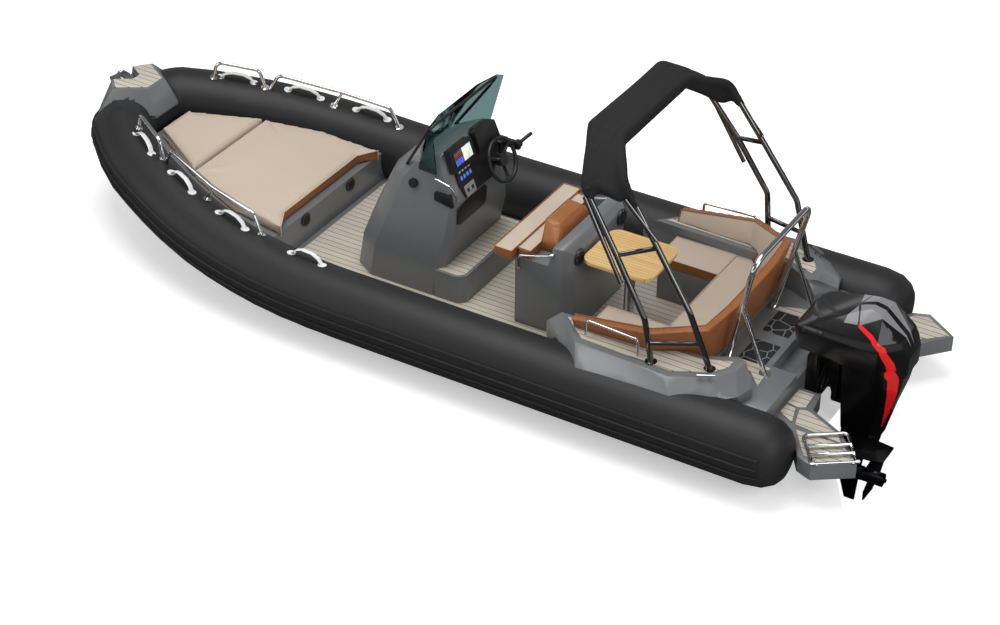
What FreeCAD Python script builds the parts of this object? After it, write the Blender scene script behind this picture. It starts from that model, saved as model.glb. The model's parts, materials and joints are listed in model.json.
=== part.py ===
import FreeCAD, Part
import math
import os
from types import SimpleNamespace

# Inflatable RIB boat, millimetres.
# +X points to the bow, +Y to port and +Z up.
# The origin lies amidships on the centreline, at the waterline.

V = FreeCAD.Vector
doc = FreeCAD.newDocument("rib_boat")
sheet = doc.addObject("Spreadsheet::Sheet", "sizes")

# Driving sizes: name, value in millimetres or degrees, meaning
SIZES = [
    ("tube_aft", 3030, "tube end behind the origin"),
    ("tube_fore", 3275, "bow end ahead of the origin"),
    ("tube_out", 1020, "tube centre from the centreline"),
    ("tube_high", 330, "tube centre above the water"),
    ("tube_round", 250, "tube radius"),
    ("bow_rise", 390, "rise of the tube centre at the bow"),
    ("nose_out", 300, "corner of the bow tube from the centreline"),
    ("nose_sweep", 35, "angle of the tube to the keel line where it meets the bow corner"),
    ("nose_round", 232, "radius of the tube across the bow"),
    ("rib_wide", 34, "width of a strake rib"),
    ("rib_deep", 16, "height of a strake rib"),
    ("rib_step", 73, "spacing of the strake ribs"),
    ("draft", 430, "keel below the water"),
    ("chine_out", 800, "chine from the centreline"),
    ("chine_low", 60, "chine below the water"),
    ("chine_flat", 60, "width of the chine flat"),
    ("transom_aft", 2750, "transom behind the origin"),
    ("stem_fore", 3210, "stem ahead of the origin"),
    ("sole_high", 212, "moulded sole above the water"),
    ("teak_thick", 8, "thickness of the teak lining"),
    ("sole_wide", 1530, "width of the cockpit sole"),
    ("sole_fore", 1250, "front end of the cockpit sole"),
    ("deck_high", 470, "engine well deck above the water"),
    ("deck_fore", 2210, "front of the engine well deck behind the origin"),
    ("transom_thick", 50, "thickness of the transom"),
    ("well_fore", 2560, "front of the splash well behind the origin"),
    ("well_out", 300, "half width of the splash well"),
    ("well_floor", 360, "floor of the splash well"),
    ("transom_high", 430, "top of the transom at the engine well"),
    ("locker_aft", 1300, "aft face of the bow locker"),
    ("locker_fore", 2790, "front end of the bow locker"),
    ("pad_thick", 80, "thickness of the seat cushions"),
    ("pad_low", 455, "underside of the sunpad at its aft edge"),
    ("pad_rise", 175, "rise of the sunpad to its front edge"),
    ("pad_gap", 6, "seam between two cushions"),
    ("step_fore", 3290, "front end of the bow step"),
    ("step_aft", 2800, "aft foot of the bow step"),
    ("step_out", 460, "half width of the bow step at its foot"),
    ("step_high", 967, "top of the bow step"),
    ("step_deep", 190, "height of the bow step side"),
    ("rail_round", 14, "radius of a rail tube"),
    ("rail_bend", 60, "bend radius of a rail"),
    ("rail_up", 150, "height of the bow rail over its feet"),
    ("foot_round", 32, "radius of a rail foot plate"),
    ("foot_thick", 8, "thickness of a rail foot plate"),
    ("grip_long", 270, "length of a tube handle"),
    ("grip_up", 60, "height of a tube handle"),
    ("grip_round", 13, "radius of a tube handle"),
    ("console_fore", 850, "front foot of the console"),
    ("console_aft", -75, "lower edge of the dash, the rearmost line of the console"),
    ("console_out", 450, "half width of the console at the sole"),
    ("console_high", 1335, "top of the console"),
    ("footrest_long", 110, "depth of the foot step behind the console"),
    ("footrest_high", 450, "top of the foot step"),
    ("screen_high", 1620, "top of the windscreen"),
    ("screen_out", 480, "half width of the windscreen at its top"),
    ("screen_thick", 10, "thickness of the windscreen"),
    ("wheel_round", 160, "radius of the steering wheel"),
    ("wheel_rim", 15, "radius of the wheel rim section"),
    ("wheel_aft", 129, "wheel centre behind the origin"),
    ("wheel_out", 190, "wheel centre to starboard"),
    ("wheel_high", 1109, "wheel centre above the water"),
    ("wheel_rake", 66, "angle of the wheel axis from the vertical"),
    ("seat_fore", 600, "front face of the helm seat behind the origin"),
    ("seat_aft", 1050, "aft face of the helm seat behind the origin"),
    ("seat_out", 430, "half width of the helm seat base"),
    ("seat_high", 790, "top of the helm seat base"),
    ("ridge_high", 950, "top of the ridge behind the helm seat"),
    ("seat_pad_out", 500, "half width of the helm cushion"),
    ("bolster_fore", 470, "front edge of the helm bolster behind the origin"),
    ("bolster_aft", 615, "aft edge of the helm bolster behind the origin"),
    ("seat_pad_high", 860, "top of the helm cushions"),
    ("table_fore", 1075, "front edge of the table behind the origin"),
    ("table_long", 545, "table along the boat"),
    ("table_wide", 500, "table across the boat"),
    ("table_high", 860, "top of the table"),
    ("table_thick", 26, "thickness of the table"),
    ("table_corner", 90, "corner radius of the table"),
    ("table_side", 95, "table centre to port"),
    ("leg_round", 38, "radius of the table leg"),
    ("bench_fore", 1330, "front end of the aft bench behind the origin"),
    ("bench_out", 800, "half width of the aft bench"),
    ("bench_deep", 400, "depth of a bench seat"),
    ("bench_high", 500, "top of the bench base"),
    ("back_up", 160, "height of the backrest at its front ends"),
    ("back_rise", 120, "rise of the backrest to its aft corners"),
    ("back_thick", 60, "thickness of a backrest"),
    ("back_lean", 110, "outward lean of a backrest"),
    ("side_high", 650, "top of the side decks"),
    ("side_deep", 100, "height of the skirt of the side deck"),
    ("arch_round", 21, "radius of the arch tubes"),
    ("arch_bend", 120, "bend radius of the arch tubes"),
    ("arch_high", 2010, "top of the arch above the water"),
    ("hoop_high", 1344, "top of the tow hoop above the water"),
    ("hoop_out", 450, "half width of the tow hoop at its top"),
    ("boot_wide", 290, "canopy boot along the boat"),
    ("boot_thick", 120, "thickness of the canopy boot"),
    ("platform_high", 350, "top of the stern platforms"),
    ("platform_thick", 120, "thickness of the stern platforms"),
    ("tilt_high", 600, "tilt axis above the water"),
    ("tilt_aft", 2800, "tilt axis behind the origin"),
    ("tilt_round", 16, "radius of the tilt tube"),
    ("bracket_thick", 24, "thickness of a clamp bracket cheek"),
    ("bracket_out", 150, "outer face of a clamp bracket cheek"),
    ("bracket_low", 130, "lower end of the clamp brackets"),
    ("eye_aft", 55, "cylinder eye behind the tilt axis"),
    ("eye_low", 150, "cylinder eye below the tilt axis"),
    ("foot_aft", 15, "cylinder foot pin behind the tilt axis"),
    ("foot_low", 400, "cylinder foot pin below the tilt axis"),
    ("pin_round", 10, "radius of the cylinder and ladder pins"),
    ("barrel_round", 27, "radius of the tilt cylinder"),
    ("steer_aft", 2935, "steering axis behind the origin"),
    ("cowl_long", 840, "length of the engine cowl"),
    ("cowl_wide", 500, "width of the engine cowl"),
    ("cowl_low", 648, "underside of the cowl ahead of the midsection"),
    ("cowl_high", 1020, "top of the engine cowl"),
    ("chaps_low", -5, "lower edge of the cowl around the midsection, above the water"),
    ("plate_low", 180, "anti ventilation plate below the water"),
    ("shaft_low", 400, "propeller shaft below the water"),
    ("skeg_low", 650, "skeg tip below the water"),
    ("hub_round", 52, "radius of the gearcase torpedo"),
    ("prop_round", 185, "radius of the propeller"),
    ("prop_aft", 3270, "propeller centre behind the origin"),
    ("ladder_wide", 300, "width of the boarding ladder"),
    ("ladder_long", 310, "length of the folded ladder"),
    ("ladder_round", 13, "radius of the ladder tubes"),
    ("touch", 0.3, "clearance between moving neighbours"),
]

for line, (alias, value, note) in enumerate(SIZES, start=1):
    sheet.set("A%d" % line, note)
    sheet.set("B%d" % line, str(value))
    sheet.setAlias("B%d" % line, alias)
doc.recompute()
s = SimpleNamespace(**{alias: float(sheet.get(alias)) for alias, value, note in SIZES})

play = s.touch / 6
MIRROR_Y = (V(0, 0, 0), V(0, 1, 0))
ROOM_SHARE = 0.96
parts = []


def keep(label, shape):
    """A sub-part whose shape is worked out from the sheet's sizes."""
    node = doc.addObject("Part::Feature", label)
    node.Label = label
    node.Shape = shape
    parts.append(node)
    return node


def mirrored(shape):
    return shape.mirror(*MIRROR_Y)


def both(shape):
    return Part.makeCompound([shape, mirrored(shape)])


def polygon(points):
    return Part.makePolygon([V(*p) for p in points] + [V(*points[0])])


def prism(outline, low, high):
    """A solid with the plan outline between two heights."""
    wire = polygon([(x, y, low) for x, y in outline])
    return Part.Face(wire).extrude(V(0, 0, high - low))


def side_prism(outline, left, right):
    """A solid with the side outline in X and Z between two Y positions."""
    wire = polygon([(x, left, z) for x, z in outline])
    return Part.Face(wire).extrude(V(0, right - left, 0))


def rounded(shape, radius, chooser):
    edges = [e for e in shape.Edges if chooser(e)]
    return shape.makeFillet(radius, edges)


def upright(edge):
    a, b = edge.Vertexes[0].Point, edge.Vertexes[-1].Point
    flat = abs(a.x - b.x) + abs(a.y - b.y)
    return flat < abs(a.z - b.z) / 100


def ring(centre, direction, radius):
    return Part.Wire([Part.makeCircle(radius, centre, direction)])


def rod(start, end, radius):
    return Part.makeCylinder(radius, (end - start).Length, start, end - start)


def bent_tube(points, radius, bend):
    """Straight runs joined by round elbows that are tangent to them."""
    points = [V(*p) for p in points]
    pieces = []
    last = points[0]
    for before, corner, after in zip(points, points[1:], points[2:]):
        way_in = (corner - before).normalize()
        way_out = (after - corner).normalize()
        turn = way_in.getAngle(way_out)
        room = min((corner - before).Length, (after - corner).Length) / 2
        back = min(bend * math.tan(turn / 2), room * ROOM_SHARE)
        start = corner - way_in * back
        middle = (way_out - way_in).normalize()
        centre = corner + middle * (back / math.sin(turn / 2))
        axis = way_in.cross(way_out).normalize()
        disc = Part.Face(ring(start, way_in, radius))
        pieces.append(rod(last, start, radius))
        pieces.append(disc.revolve(centre, axis, math.degrees(turn)))
        last = corner + way_out * back
    pieces.append(rod(last, points[-1], radius))
    return pieces[0].fuse(pieces[1:])


def at(low, high, share):
    return low + (high - low) * share


# Buoyancy tubes: stations as shares of length, half spacing, bow rise and radius
TUBE_SHARES = [
    (0.500, 1.000, 0.00, 1.00),
    (0.554, 1.000, 0.00, 1.00),
    (0.639, 0.992, 0.05, 1.00),
    (0.709, 0.950, 0.16, 1.00),
    (0.778, 0.866, 0.32, 1.00),
    (0.865, 0.676, 0.58, 0.97),
    (0.916, 0.510, 0.74, 0.95),
]
# Rounded tube end: distance from the end and radius, as shares of the tube radius
END_SHARES = [(0.00, 0.42), (0.06, 0.60), (0.20, 0.77), (0.48, 0.93), (0.96, 1.00)]
BOW_BANDS = 12
NOSE_BANDS = 5
NOSE_RISE_SHARE = 0.87
NOSE_BEND_SHARE = 1.08
tube_length = s.tube_aft + s.tube_fore

# The tube turns a round corner and then runs straight across the bow
nose_sweep = math.radians(s.nose_sweep)
nose_way = V(math.cos(nose_sweep), -math.sin(nose_sweep), 0)
nose_turn = math.pi / 2 - nose_sweep
nose_bend = s.nose_round * NOSE_BEND_SHARE
nose_corner = V(s.tube_fore - s.nose_round, s.nose_out, s.tube_high + s.bow_rise * NOSE_RISE_SHARE)
nose_back = nose_bend * math.tan(nose_turn / 2)
nose_start = nose_corner - nose_way * nose_back


def tube_point(shares):
    along, out, up, size = shares
    x = tube_length * along - s.tube_aft
    return V(x, s.tube_out * out, s.tube_high + s.bow_rise * up)


def tube_axis():
    curve = Part.BSplineCurve()
    points = [tube_point(row) for row in TUBE_SHARES] + [nose_start]
    curve.interpolate(Points=points, InitialTangent=V(1, 0, 0), FinalTangent=nose_way)
    return curve


def axis_at(curve, x):
    """Point and direction of the tube axis at a distance along the boat."""
    first = curve.value(curve.FirstParameter)
    if x < first.x:
        return V(x, first.y, first.z), V(1, 0, 0)
    low, high = curve.FirstParameter, curve.LastParameter
    for step in range(60):
        middle = (low + high) / 2
        if curve.value(middle).x < x:
            low = middle
        else:
            high = middle
    return curve.value(middle), curve.tangent(middle)[0]


def radius_at(x):
    rows = [(tube_point(row).x, s.tube_round * row[3]) for row in TUBE_SHARES]
    rows.append((nose_start.x, s.nose_round))
    for (x0, r0), (x1, r1) in zip(rows, rows[1:]):
        if x <= x1:
            return at(r0, r1, max(0, (x - x0) / (x1 - x0)))
    return s.nose_round


def tube_stations():
    """Centre, direction and radius of the tube at each band, from the stern round to the stem."""
    curve = tube_axis()
    first = tube_point(TUBE_SHARES[0])
    straight = V(1, 0, 0)
    rows = []
    for along, size in END_SHARES:
        centre = V(s.tube_round * along - s.tube_aft, first.y, first.z)
        rows.append((centre, straight, s.tube_round * size))
    rows.append((first, straight, s.tube_round))
    low = curve.parameter(tube_point(TUBE_SHARES[1]))
    for k in range(BOW_BANDS):
        place = at(low, curve.LastParameter, k / BOW_BANDS)
        centre = curve.value(place)
        rows.append((centre, curve.tangent(place)[0], radius_at(centre.x)))
    middle = nose_start + V(-nose_way.y, nose_way.x, 0) * -nose_bend
    for k in range(NOSE_BANDS + 1):
        turn = FreeCAD.Rotation(V(0, 0, 1), -math.degrees(nose_turn) * k / NOSE_BANDS)
        rows.append((middle + turn.multVec(nose_start - middle), turn.multVec(nose_way), s.nose_round))
    last = rows[-1][0]
    rows.append((V(last.x, 0, last.z), V(0, -1, 0), s.nose_round))
    return rows


def make_tube():
    """Rounded end, straight run, curved bow and round corner in one loft."""
    rings = [ring(centre, way, size) for centre, way, size in tube_stations()]
    return Part.makeLoft(rings, True, True)


tube_curve = tube_axis()
tube = make_tube()
keep("tube_port", tube)
keep("tube_starboard", mirrored(tube))

# Rub strake: three ribs along the outer side of each tube, from the rounded end to just short of the stem
STRAKE_FIRST_BAND = 3
STRAKE_END_SHARE = 0.35
RIB_SLIM_SHARE = 0.5
STRAKE_TURN_SHARE = 0.15


def strake_rib(angle):
    places = tube_stations()[STRAKE_FIRST_BAND:]
    last, way, size = places[-1]
    places[-1] = (V(last.x, s.nose_out * STRAKE_END_SHARE, last.z), way, size)
    rows = []
    for point, way, size in places:
        out = V(-way.y, way.x, 0).normalize()
        up = way.cross(out).normalize() * -1
        if up.z < 0:
            up = up * -1
        lean = out * math.cos(angle) + up * math.sin(angle)
        side = up * math.cos(angle) - out * math.sin(angle)
        foot = point + lean * (size - s.rib_deep)
        top = point + lean * (size + s.rib_deep)
        wide = side * (s.rib_wide / 2)
        slim = wide * RIB_SLIM_SHARE
        rows.append(Part.makePolygon([foot + wide, top + slim, top - slim, foot - wide, foot + wide]))
    return Part.makeLoft(rows, True, True)


step_angle = s.rib_step / s.tube_round
ribs = [strake_rib(step_angle * (k - 1 + STRAKE_TURN_SHARE)) for k in range(3)]
strake = Part.makeCompound([rib.cut(tube) for rib in ribs])
keep("rub_strakes", both(strake))

# Hull sections: along from transom to stem, keel depth, chine width, chine rise, rail width, rail rise
HULL_SHARES = [
    (0.00, 1.00, 1.00, 0.00, 1.13, 0.00),
    (0.30, 1.00, 1.00, 0.00, 1.13, 0.00),
    (0.50, 0.97, 0.98, 0.04, 1.13, 0.00),
    (0.68, 0.84, 0.88, 0.18, 1.10, 0.00),
    (0.84, 0.46, 0.62, 0.50, 0.86, 0.45),
    (0.93, 0.00, 0.37, 0.85, 0.58, 0.80),
    (1.00, -0.90, 0.06, 1.35, 0.14, 1.08),
]
hull_length = s.transom_aft + s.stem_fore
stem_rise = s.bow_rise


def hull_half(shares):
    along, deep, wide, rise, rail, up = shares
    x = hull_length * along - s.transom_aft
    keel = (x, -s.draft * deep)
    chine = (s.chine_out * wide, -s.chine_low + stem_rise * rise)
    inner = (max(chine[0] - s.chine_flat, chine[0] / 2), chine[1] + s.chine_flat / 6)
    top = (s.chine_out * rail, s.sole_high + stem_rise * up)
    return x, keel[1], inner, chine, top


def hull_wire(shares):
    x, keel, inner, chine, top = hull_half(shares)
    half = [(inner[0], inner[1]), (chine[0], chine[1]), (top[0], top[1])]
    points = [(x, 0, keel)]
    points += [(x, y, z) for y, z in half]
    points += [(x, -y, z) for y, z in reversed(half)]
    return polygon(points)


def make_hull():
    body = Part.makeLoft([hull_wire(row) for row in HULL_SHARES], True, True)
    deck = prism(
        [(-s.transom_aft, -s.tube_out), (-s.deck_fore, -s.tube_out),
         (-s.deck_fore, s.tube_out), (-s.transom_aft, s.tube_out)],
        s.sole_high - s.teak_thick, s.deck_high)
    well = prism(
        [(-s.transom_aft + s.transom_thick, -s.well_out), (-s.well_fore, -s.well_out),
         (-s.well_fore, s.well_out), (-s.transom_aft + s.transom_thick, s.well_out)],
        s.well_floor, s.deck_high * 2)
    cutout = prism(
        [(-s.transom_aft, -s.well_out), (-s.well_fore, -s.well_out),
         (-s.well_fore, s.well_out), (-s.transom_aft, s.well_out)],
        s.transom_high, s.deck_high * 2)
    return body.fuse(deck).cut(well).cut(cutout).cut(tube).cut(mirrored(tube)).removeSplitter()


hull = make_hull()
keep("hull", hull)

# Teak lining of the cockpit sole
teak = []
sole = prism(
    [(-s.deck_fore, -s.sole_wide / 2), (s.sole_fore, -s.sole_wide / 2),
     (s.sole_fore, s.sole_wide / 2), (-s.deck_fore, s.sole_wide / 2)],
    s.sole_high, s.sole_high + s.teak_thick)
teak.append(sole)
sole_top = s.sole_high + s.teak_thick

# Sunpad and locker outline: along and out as shares of the locker length and the tube spacing
PAD_SHARES = [
    (-0.020, 0.640),
    (0.038, 0.480),
    (0.038, -0.480),
    (-0.020, -0.640),
    (0.300, -0.610),
    (0.610, -0.450),
    (0.960, -0.166),
    (0.960, 0.166),
    (0.610, 0.450),
    (0.300, 0.610),
]
locker_length = s.locker_fore - s.locker_aft
pad_slope = s.pad_rise / locker_length


def pad_point(shares):
    return s.locker_aft + locker_length * shares[0], s.tube_out * shares[1]


def sloped(outline, low, high):
    """A solid whose faces rise to the bow with the sunpad."""
    def wire(height):
        rows = [(x, y, height + (x - s.locker_aft) * pad_slope) for x, y in outline]
        return polygon(rows)
    return Part.makeLoft([wire(low), wire(high)], True, True)


LOCKER_SHARES = [(0.0, 0.80), (0.0, -0.80), (0.55, -0.62), (1.0, -0.20), (1.0, 0.20), (0.55, 0.62)]
locker_plan = [pad_point(row) for row in LOCKER_SHARES]
locker = sloped(locker_plan, s.sole_high - s.pad_rise, s.pad_low)
locker = locker.cut(hull).cut(tube).cut(mirrored(tube))
locker = max(locker.Solids, key=lambda solid: solid.Volume)
keep("bow_locker", locker)
seam_x = pad_point((0.610, 0))[0]
pad = sloped([pad_point(row) for row in PAD_SHARES], s.pad_low, s.pad_low + s.pad_thick)
reach = s.tube_fore
front_box = Part.makeBox(reach, 2 * reach, 2 * reach, V(seam_x + s.pad_gap / 2, -reach, -reach))
aft_box = Part.makeBox(reach, 2 * reach, 2 * reach, V(seam_x - s.pad_gap / 2 - reach, -reach, -reach))
keep("sunpads", Part.makeCompound([pad.common(front_box), pad.common(aft_box)]))

# Bow step: a faceted moulding saddled over the bow tube, its outlines as shares of its length and half width
STEP_TOP_SHARES = [(0.173, 0.217), (0.653, 0.543), (0.869, 0.283), (0.888, 0.109)]
STEP_FOOT_SHARES = [(0.000, 0.293), (0.714, 1.000), (0.980, 0.478), (1.000, 0.174)]
STEP_TEAK_SHARES = [(0.210, 0.190), (0.645, 0.480), (0.840, 0.265), (0.580, 0.087)]
STEP_NOTCH_SHARES = [(0.550, 0.087), (1.100, 0.420)]
STEP_NOTCH_DEEP_SHARE = 0.40
SKIRT_SHARE = 0.12
step_long = s.step_fore - s.step_aft


def step_plan(shares):
    half = [(s.step_aft + step_long * along, s.step_out * out) for along, out in shares]
    return half + [(x, -y) for x, y in reversed(half)]


def step_wire(shares, height):
    return polygon([(x, y, height) for x, y in step_plan(shares)])


step_foot = s.step_high - s.step_deep
step = Part.makeLoft([
    step_wire(STEP_FOOT_SHARES, step_foot - s.nose_round * SKIRT_SHARE),
    step_wire(STEP_FOOT_SHARES, step_foot),
    step_wire(STEP_TOP_SHARES, s.step_high)], True, True)
notch_floor = s.step_high - s.step_deep * STEP_NOTCH_DEEP_SHARE
step = step.cut(prism(step_plan(STEP_NOTCH_SHARES), notch_floor, s.step_high + s.step_deep))
step = step.cut(tube).cut(mirrored(tube)).cut(hull).cut(locker)
step = step.cut(strake).cut(mirrored(strake))
step = max(step.Solids, key=lambda solid: solid.Volume)
keep("bow_step", step)
teak.append(prism(step_plan(STEP_TEAK_SHARES), s.step_high, s.step_high + s.teak_thick))

# Bow roller between two cheeks in the notch, and mooring cleats
ROLLER_SHARES = (0.985, 0.10)
CHEEK_SHARES = [(0.80, 0.0), (1.02, 0.0), (1.05, 0.55), (0.95, 0.95), (0.80, 0.80)]
roller_x = s.step_aft + step_long * ROLLER_SHARES[0]
roller_half = s.step_out * ROLLER_SHARES[1]
roller_z = notch_floor + s.rail_round * 2.2
roller = rod(V(roller_x, -roller_half, roller_z), V(roller_x, roller_half, roller_z), s.rail_round * 1.5)
cheek_tall = s.step_high - notch_floor
cheek_plan = [(s.step_aft + step_long * a, notch_floor + cheek_tall * b) for a, b in CHEEK_SHARES]
cheek = side_prism(cheek_plan, roller_half, roller_half + s.foot_thick)
bow_roller = roller.fuse([cheek, mirrored(cheek)]).cut(step)


# Bow rails: feet as along, out and up shares of tube length, spacing and bow rise
def tube_top(share, inboard=0.07):
    """A point on the upper side of the tube and its outward normal."""
    x = tube_length * share - s.tube_aft
    point, way = axis_at(tube_curve, x)
    out = V(way.y, -way.x, 0).normalize()
    if out.y > 0:
        out = out * -1
    up = way.cross(out).normalize()
    if up.z < 0:
        up = up * -1
    lean = up * math.cos(inboard) + out * math.sin(inboard)
    return point + lean * radius_at(x), lean, way


RAIL_SHARES = [0.923, 0.860, 0.775, 0.683]
rail_lean = 0.28


def make_rail():
    feet = [tube_top(share, rail_lean) for share in RAIL_SHARES]
    points = [foot for foot, lean, way in feet]
    tops = [foot + V(0, 0, s.rail_up) for foot in points]
    inset = s.rail_up / 2
    hoop = [points[0], tops[0] + (tops[1] - tops[0]).normalize() * inset / 2,
            tops[1] - (tops[1] - tops[0]).normalize() * inset / 2, points[1]]
    long_way = (tops[2] - tops[1]).normalize()
    end_way = (tops[3] - tops[2]).normalize()
    offset = long_way * s.foot_round * 1.4
    rail = [points[1] + offset, tops[1] + offset + long_way * inset, tops[2] + end_way * inset,
            tops[3] - end_way * inset, points[3]]
    shapes = [bent_tube([tuple(p) for p in hoop], s.rail_round, s.rail_bend)]
    shapes.append(bent_tube([tuple(p) for p in rail], s.rail_round, s.rail_bend))
    shapes.append(rod(points[2], tops[2] + end_way * inset - V(0, 0, s.rail_round), s.rail_round * 0.8))
    for foot, lean, way in feet:
        shapes.append(Part.makeCylinder(s.foot_round, s.foot_thick * 3, foot - lean * s.foot_thick * 2, lean))
    whole = shapes[0].fuse(shapes[1:]).cut(tube)
    return Part.makeCompound([solid for solid in whole.Solids if solid.Volume > s.foot_round ** 3 * 0.1])


bow_rail = make_rail()
keep("bow_rails", both(bow_rail))

# Handles along the tubes: low flat arcs of webbing on end pads; along and up as shares of length and height
GRIP_SHARES = [0.894, 0.815, 0.725, 0.610]
GRIP_ARC_SHARES = [(-0.50, 0.00), (-0.36, 0.62), (-0.16, 0.96), (0.16, 0.96), (0.36, 0.62), (0.50, 0.00)]
GRIP_LEAN = 0.13
GRIP_WIDE_SHARE = 0.13
GRIP_FOOT_SHARE = 0.12


def make_grip(share):
    foot, lean, way = tube_top(share, GRIP_LEAN)
    across = way.cross(lean).normalize()
    half = across * (s.grip_long * GRIP_WIDE_SHARE / 2)
    thick = s.grip_round / 2

    def row(lift):
        return [foot + way * (s.grip_long * a) + lean * (s.grip_up * b + lift) for a, b in GRIP_ARC_SHARES]
    outline = row(thick) + row(0)[::-1]
    strap = Part.Face(Part.makePolygon([p - half for p in outline] + [outline[0] - half])).extrude(half * 2)
    feet = []
    for sign in (-1, 1):
        middle = foot + way * (s.grip_long / 2 * sign)
        feet.append(Part.makeCylinder(s.grip_long * GRIP_FOOT_SHARE, thick * 4, middle - lean * thick * 3.2, lean))
    return strap.fuse(feet).cut(tube)


grips = [max(make_grip(share).Solids, key=lambda g: g.Volume) for share in GRIP_SHARES]
keep("tube_handles", Part.makeCompound(grips + [mirrored(grip) for grip in grips]))

# Console: plan sections as shares of its height, length and half width, from the sole to the hood
CONSOLE_SHARES = [
    (0.000, 0.114, 1.000, 1.000),
    (0.251, 0.081, 0.946, 1.000),
    (0.430, 0.021, 0.859, 0.933),
    (0.691, 0.000, 0.722, 0.800),
    (0.762, 0.032, 0.681, 0.760),
    (0.888, 0.090, 0.514, 0.735),
    (0.960, 0.122, 0.340, 0.715),
    (1.000, 0.142, 0.200, 0.680),
]
CONSOLE_PLAN_SHARES = [(0.72, 1.00), (0.92, 0.78), (1.00, 0.42)]
CORNER_SHARE = 0.12
console_long = s.console_fore - s.console_aft
console_tall = s.console_high - sole_top


def console_wire(row):
    up, aft, fore, out = row
    x0 = s.console_aft + console_long * aft
    x1 = s.console_aft + console_long * fore
    half = s.console_out * out
    corner = s.console_out * CORNER_SHARE
    z = sole_top + console_tall * up
    side = [(x0, half - corner), (x0 + min(corner, (x1 - x0) / 3), half)]
    side += [(at(x0, x1, along), half * wide) for along, wide in CONSOLE_PLAN_SHARES]
    return polygon([(x, y, z) for x, y in side] + [(x, -y, z) for x, y in reversed(side)])


console = Part.makeLoft([console_wire(row) for row in CONSOLE_SHARES], True, True)
STEP_OUT_SHARE = 1.0
STEP_CORNER_SHARE = 0.5
rest_x = s.console_aft
rest_aft = rest_x - s.footrest_long
rest_out = s.console_out * STEP_OUT_SHARE
rest_cut = s.footrest_long * STEP_CORNER_SHARE
foot_box = prism([
    (rest_x + console_long * CONSOLE_SHARES[0][1] + s.foot_round, rest_out),
    (rest_aft + rest_cut, rest_out), (rest_aft, rest_out - rest_cut),
    (rest_aft, rest_cut - rest_out), (rest_aft + rest_cut, -rest_out),
    (rest_x + console_long * CONSOLE_SHARES[0][1] + s.foot_round, -rest_out)], sole_top, s.footrest_high)
console = console.fuse(foot_box)
keep("console", console)
teak_inset = s.teak_thick * 2
rest_teak = prism([
    (rest_x + s.footrest_long, rest_out - teak_inset), (rest_aft + rest_cut, rest_out - teak_inset),
    (rest_aft + teak_inset, rest_out - rest_cut), (rest_aft + teak_inset, rest_cut - rest_out),
    (rest_aft + rest_cut, teak_inset - rest_out), (rest_x + s.footrest_long, teak_inset - rest_out)],
    s.footrest_high, s.footrest_high + s.teak_thick).cut(console)
teak.append(max(rest_teak.Solids, key=lambda solid: solid.Volume))

# Dash: a black panel on the sloping aft top of the console, with two pods that stand proud of it
dash_low, dash_high = CONSOLE_SHARES[3], CONSOLE_SHARES[7]
dash_foot = V(s.console_aft + console_long * dash_low[1], 0, sole_top + console_tall * dash_low[0])
dash_top = V(s.console_aft + console_long * dash_high[1], 0, s.console_high)
dash_way = (dash_top - dash_foot).normalize()
dash_long = (dash_top - dash_foot).Length
dash_normal = V(-dash_way.z, 0, dash_way.x)
# Outlines as shares of the console's half width and the dash's length
PANEL_SHARES = [
    (0.53, 0.00), (0.60, 0.30), (0.60, 1.00), (-0.56, 1.00), (-0.68, 0.80), (-0.66, 0.40), (-0.30, 0.00),
]
PORT_POD_SHARES = [(0.04, 0.58), (0.70, 0.60), (0.68, 1.07), (0.10, 1.07), (0.04, 1.00)]
STAR_POD_SHARES = [(-0.06, 0.62), (-0.06, 1.05), (-0.12, 1.12), (-0.50, 1.10), (-0.66, 1.00), (-0.68, 0.66)]
DISPLAY_SHARES = [(0.11, 0.68), (0.64, 0.70), (0.62, 1.00), (0.11, 1.00)]
dash_thick = s.screen_thick * 1.4
pod_thick = s.screen_thick * 5
display_thick = s.screen_thick * 0.6


def dash_place(out, up, lift=0.0):
    return dash_foot + V(0, s.console_out * out, 0) + dash_way * (dash_long * up) + dash_normal * lift


def dash_slab(shares, lift, thick):
    wire = polygon([tuple(dash_place(out, up, lift)) for out, up in shares])
    return Part.Face(wire).extrude(dash_normal * thick)


dash = dash_slab(PANEL_SHARES, -dash_thick, dash_thick * 2)
dash = dash.fuse([dash_slab(PORT_POD_SHARES, 0, pod_thick), dash_slab(STAR_POD_SHARES, 0, pod_thick * 1.1)])
keep("chart_display", dash_slab(DISPLAY_SHARES, pod_thick, display_thick))

# Windscreen: a raked sheet with swept wings, cut where it lands on the console
SCREEN_FOOT_SHARES = [(0.19, 0.770), (0.36, 0.745), (0.47, 0.42)]
SCREEN_TOP_SHARES = [(0.125, 1.02), (0.18, 0.98), (0.225, 0.55)]
SCREEN_LOW_SHARE = 0.86
# Rail feet and top corners as shares of the console length and half width
RAIL_FOOT_SHARES = (0.490, 0.660, 0.850)
RAIL_TOP_SHARES = (0.157, 1.070)


def screen_wire(shares, z, half):
    t = s.screen_thick
    outer = [(s.console_aft + console_long * a, half * b) for a, b in shares]
    inner = [(x - t, y - t) for x, y in outer]
    inner[0] = (inner[0][0] + t, inner[0][1])
    loop = outer + [(x, -y) for x, y in reversed(outer)]
    loop += [(x, -y) for x, y in inner] + [(x, y) for x, y in reversed(inner)]
    return polygon([(x, y, z) for x, y in loop])


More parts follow.
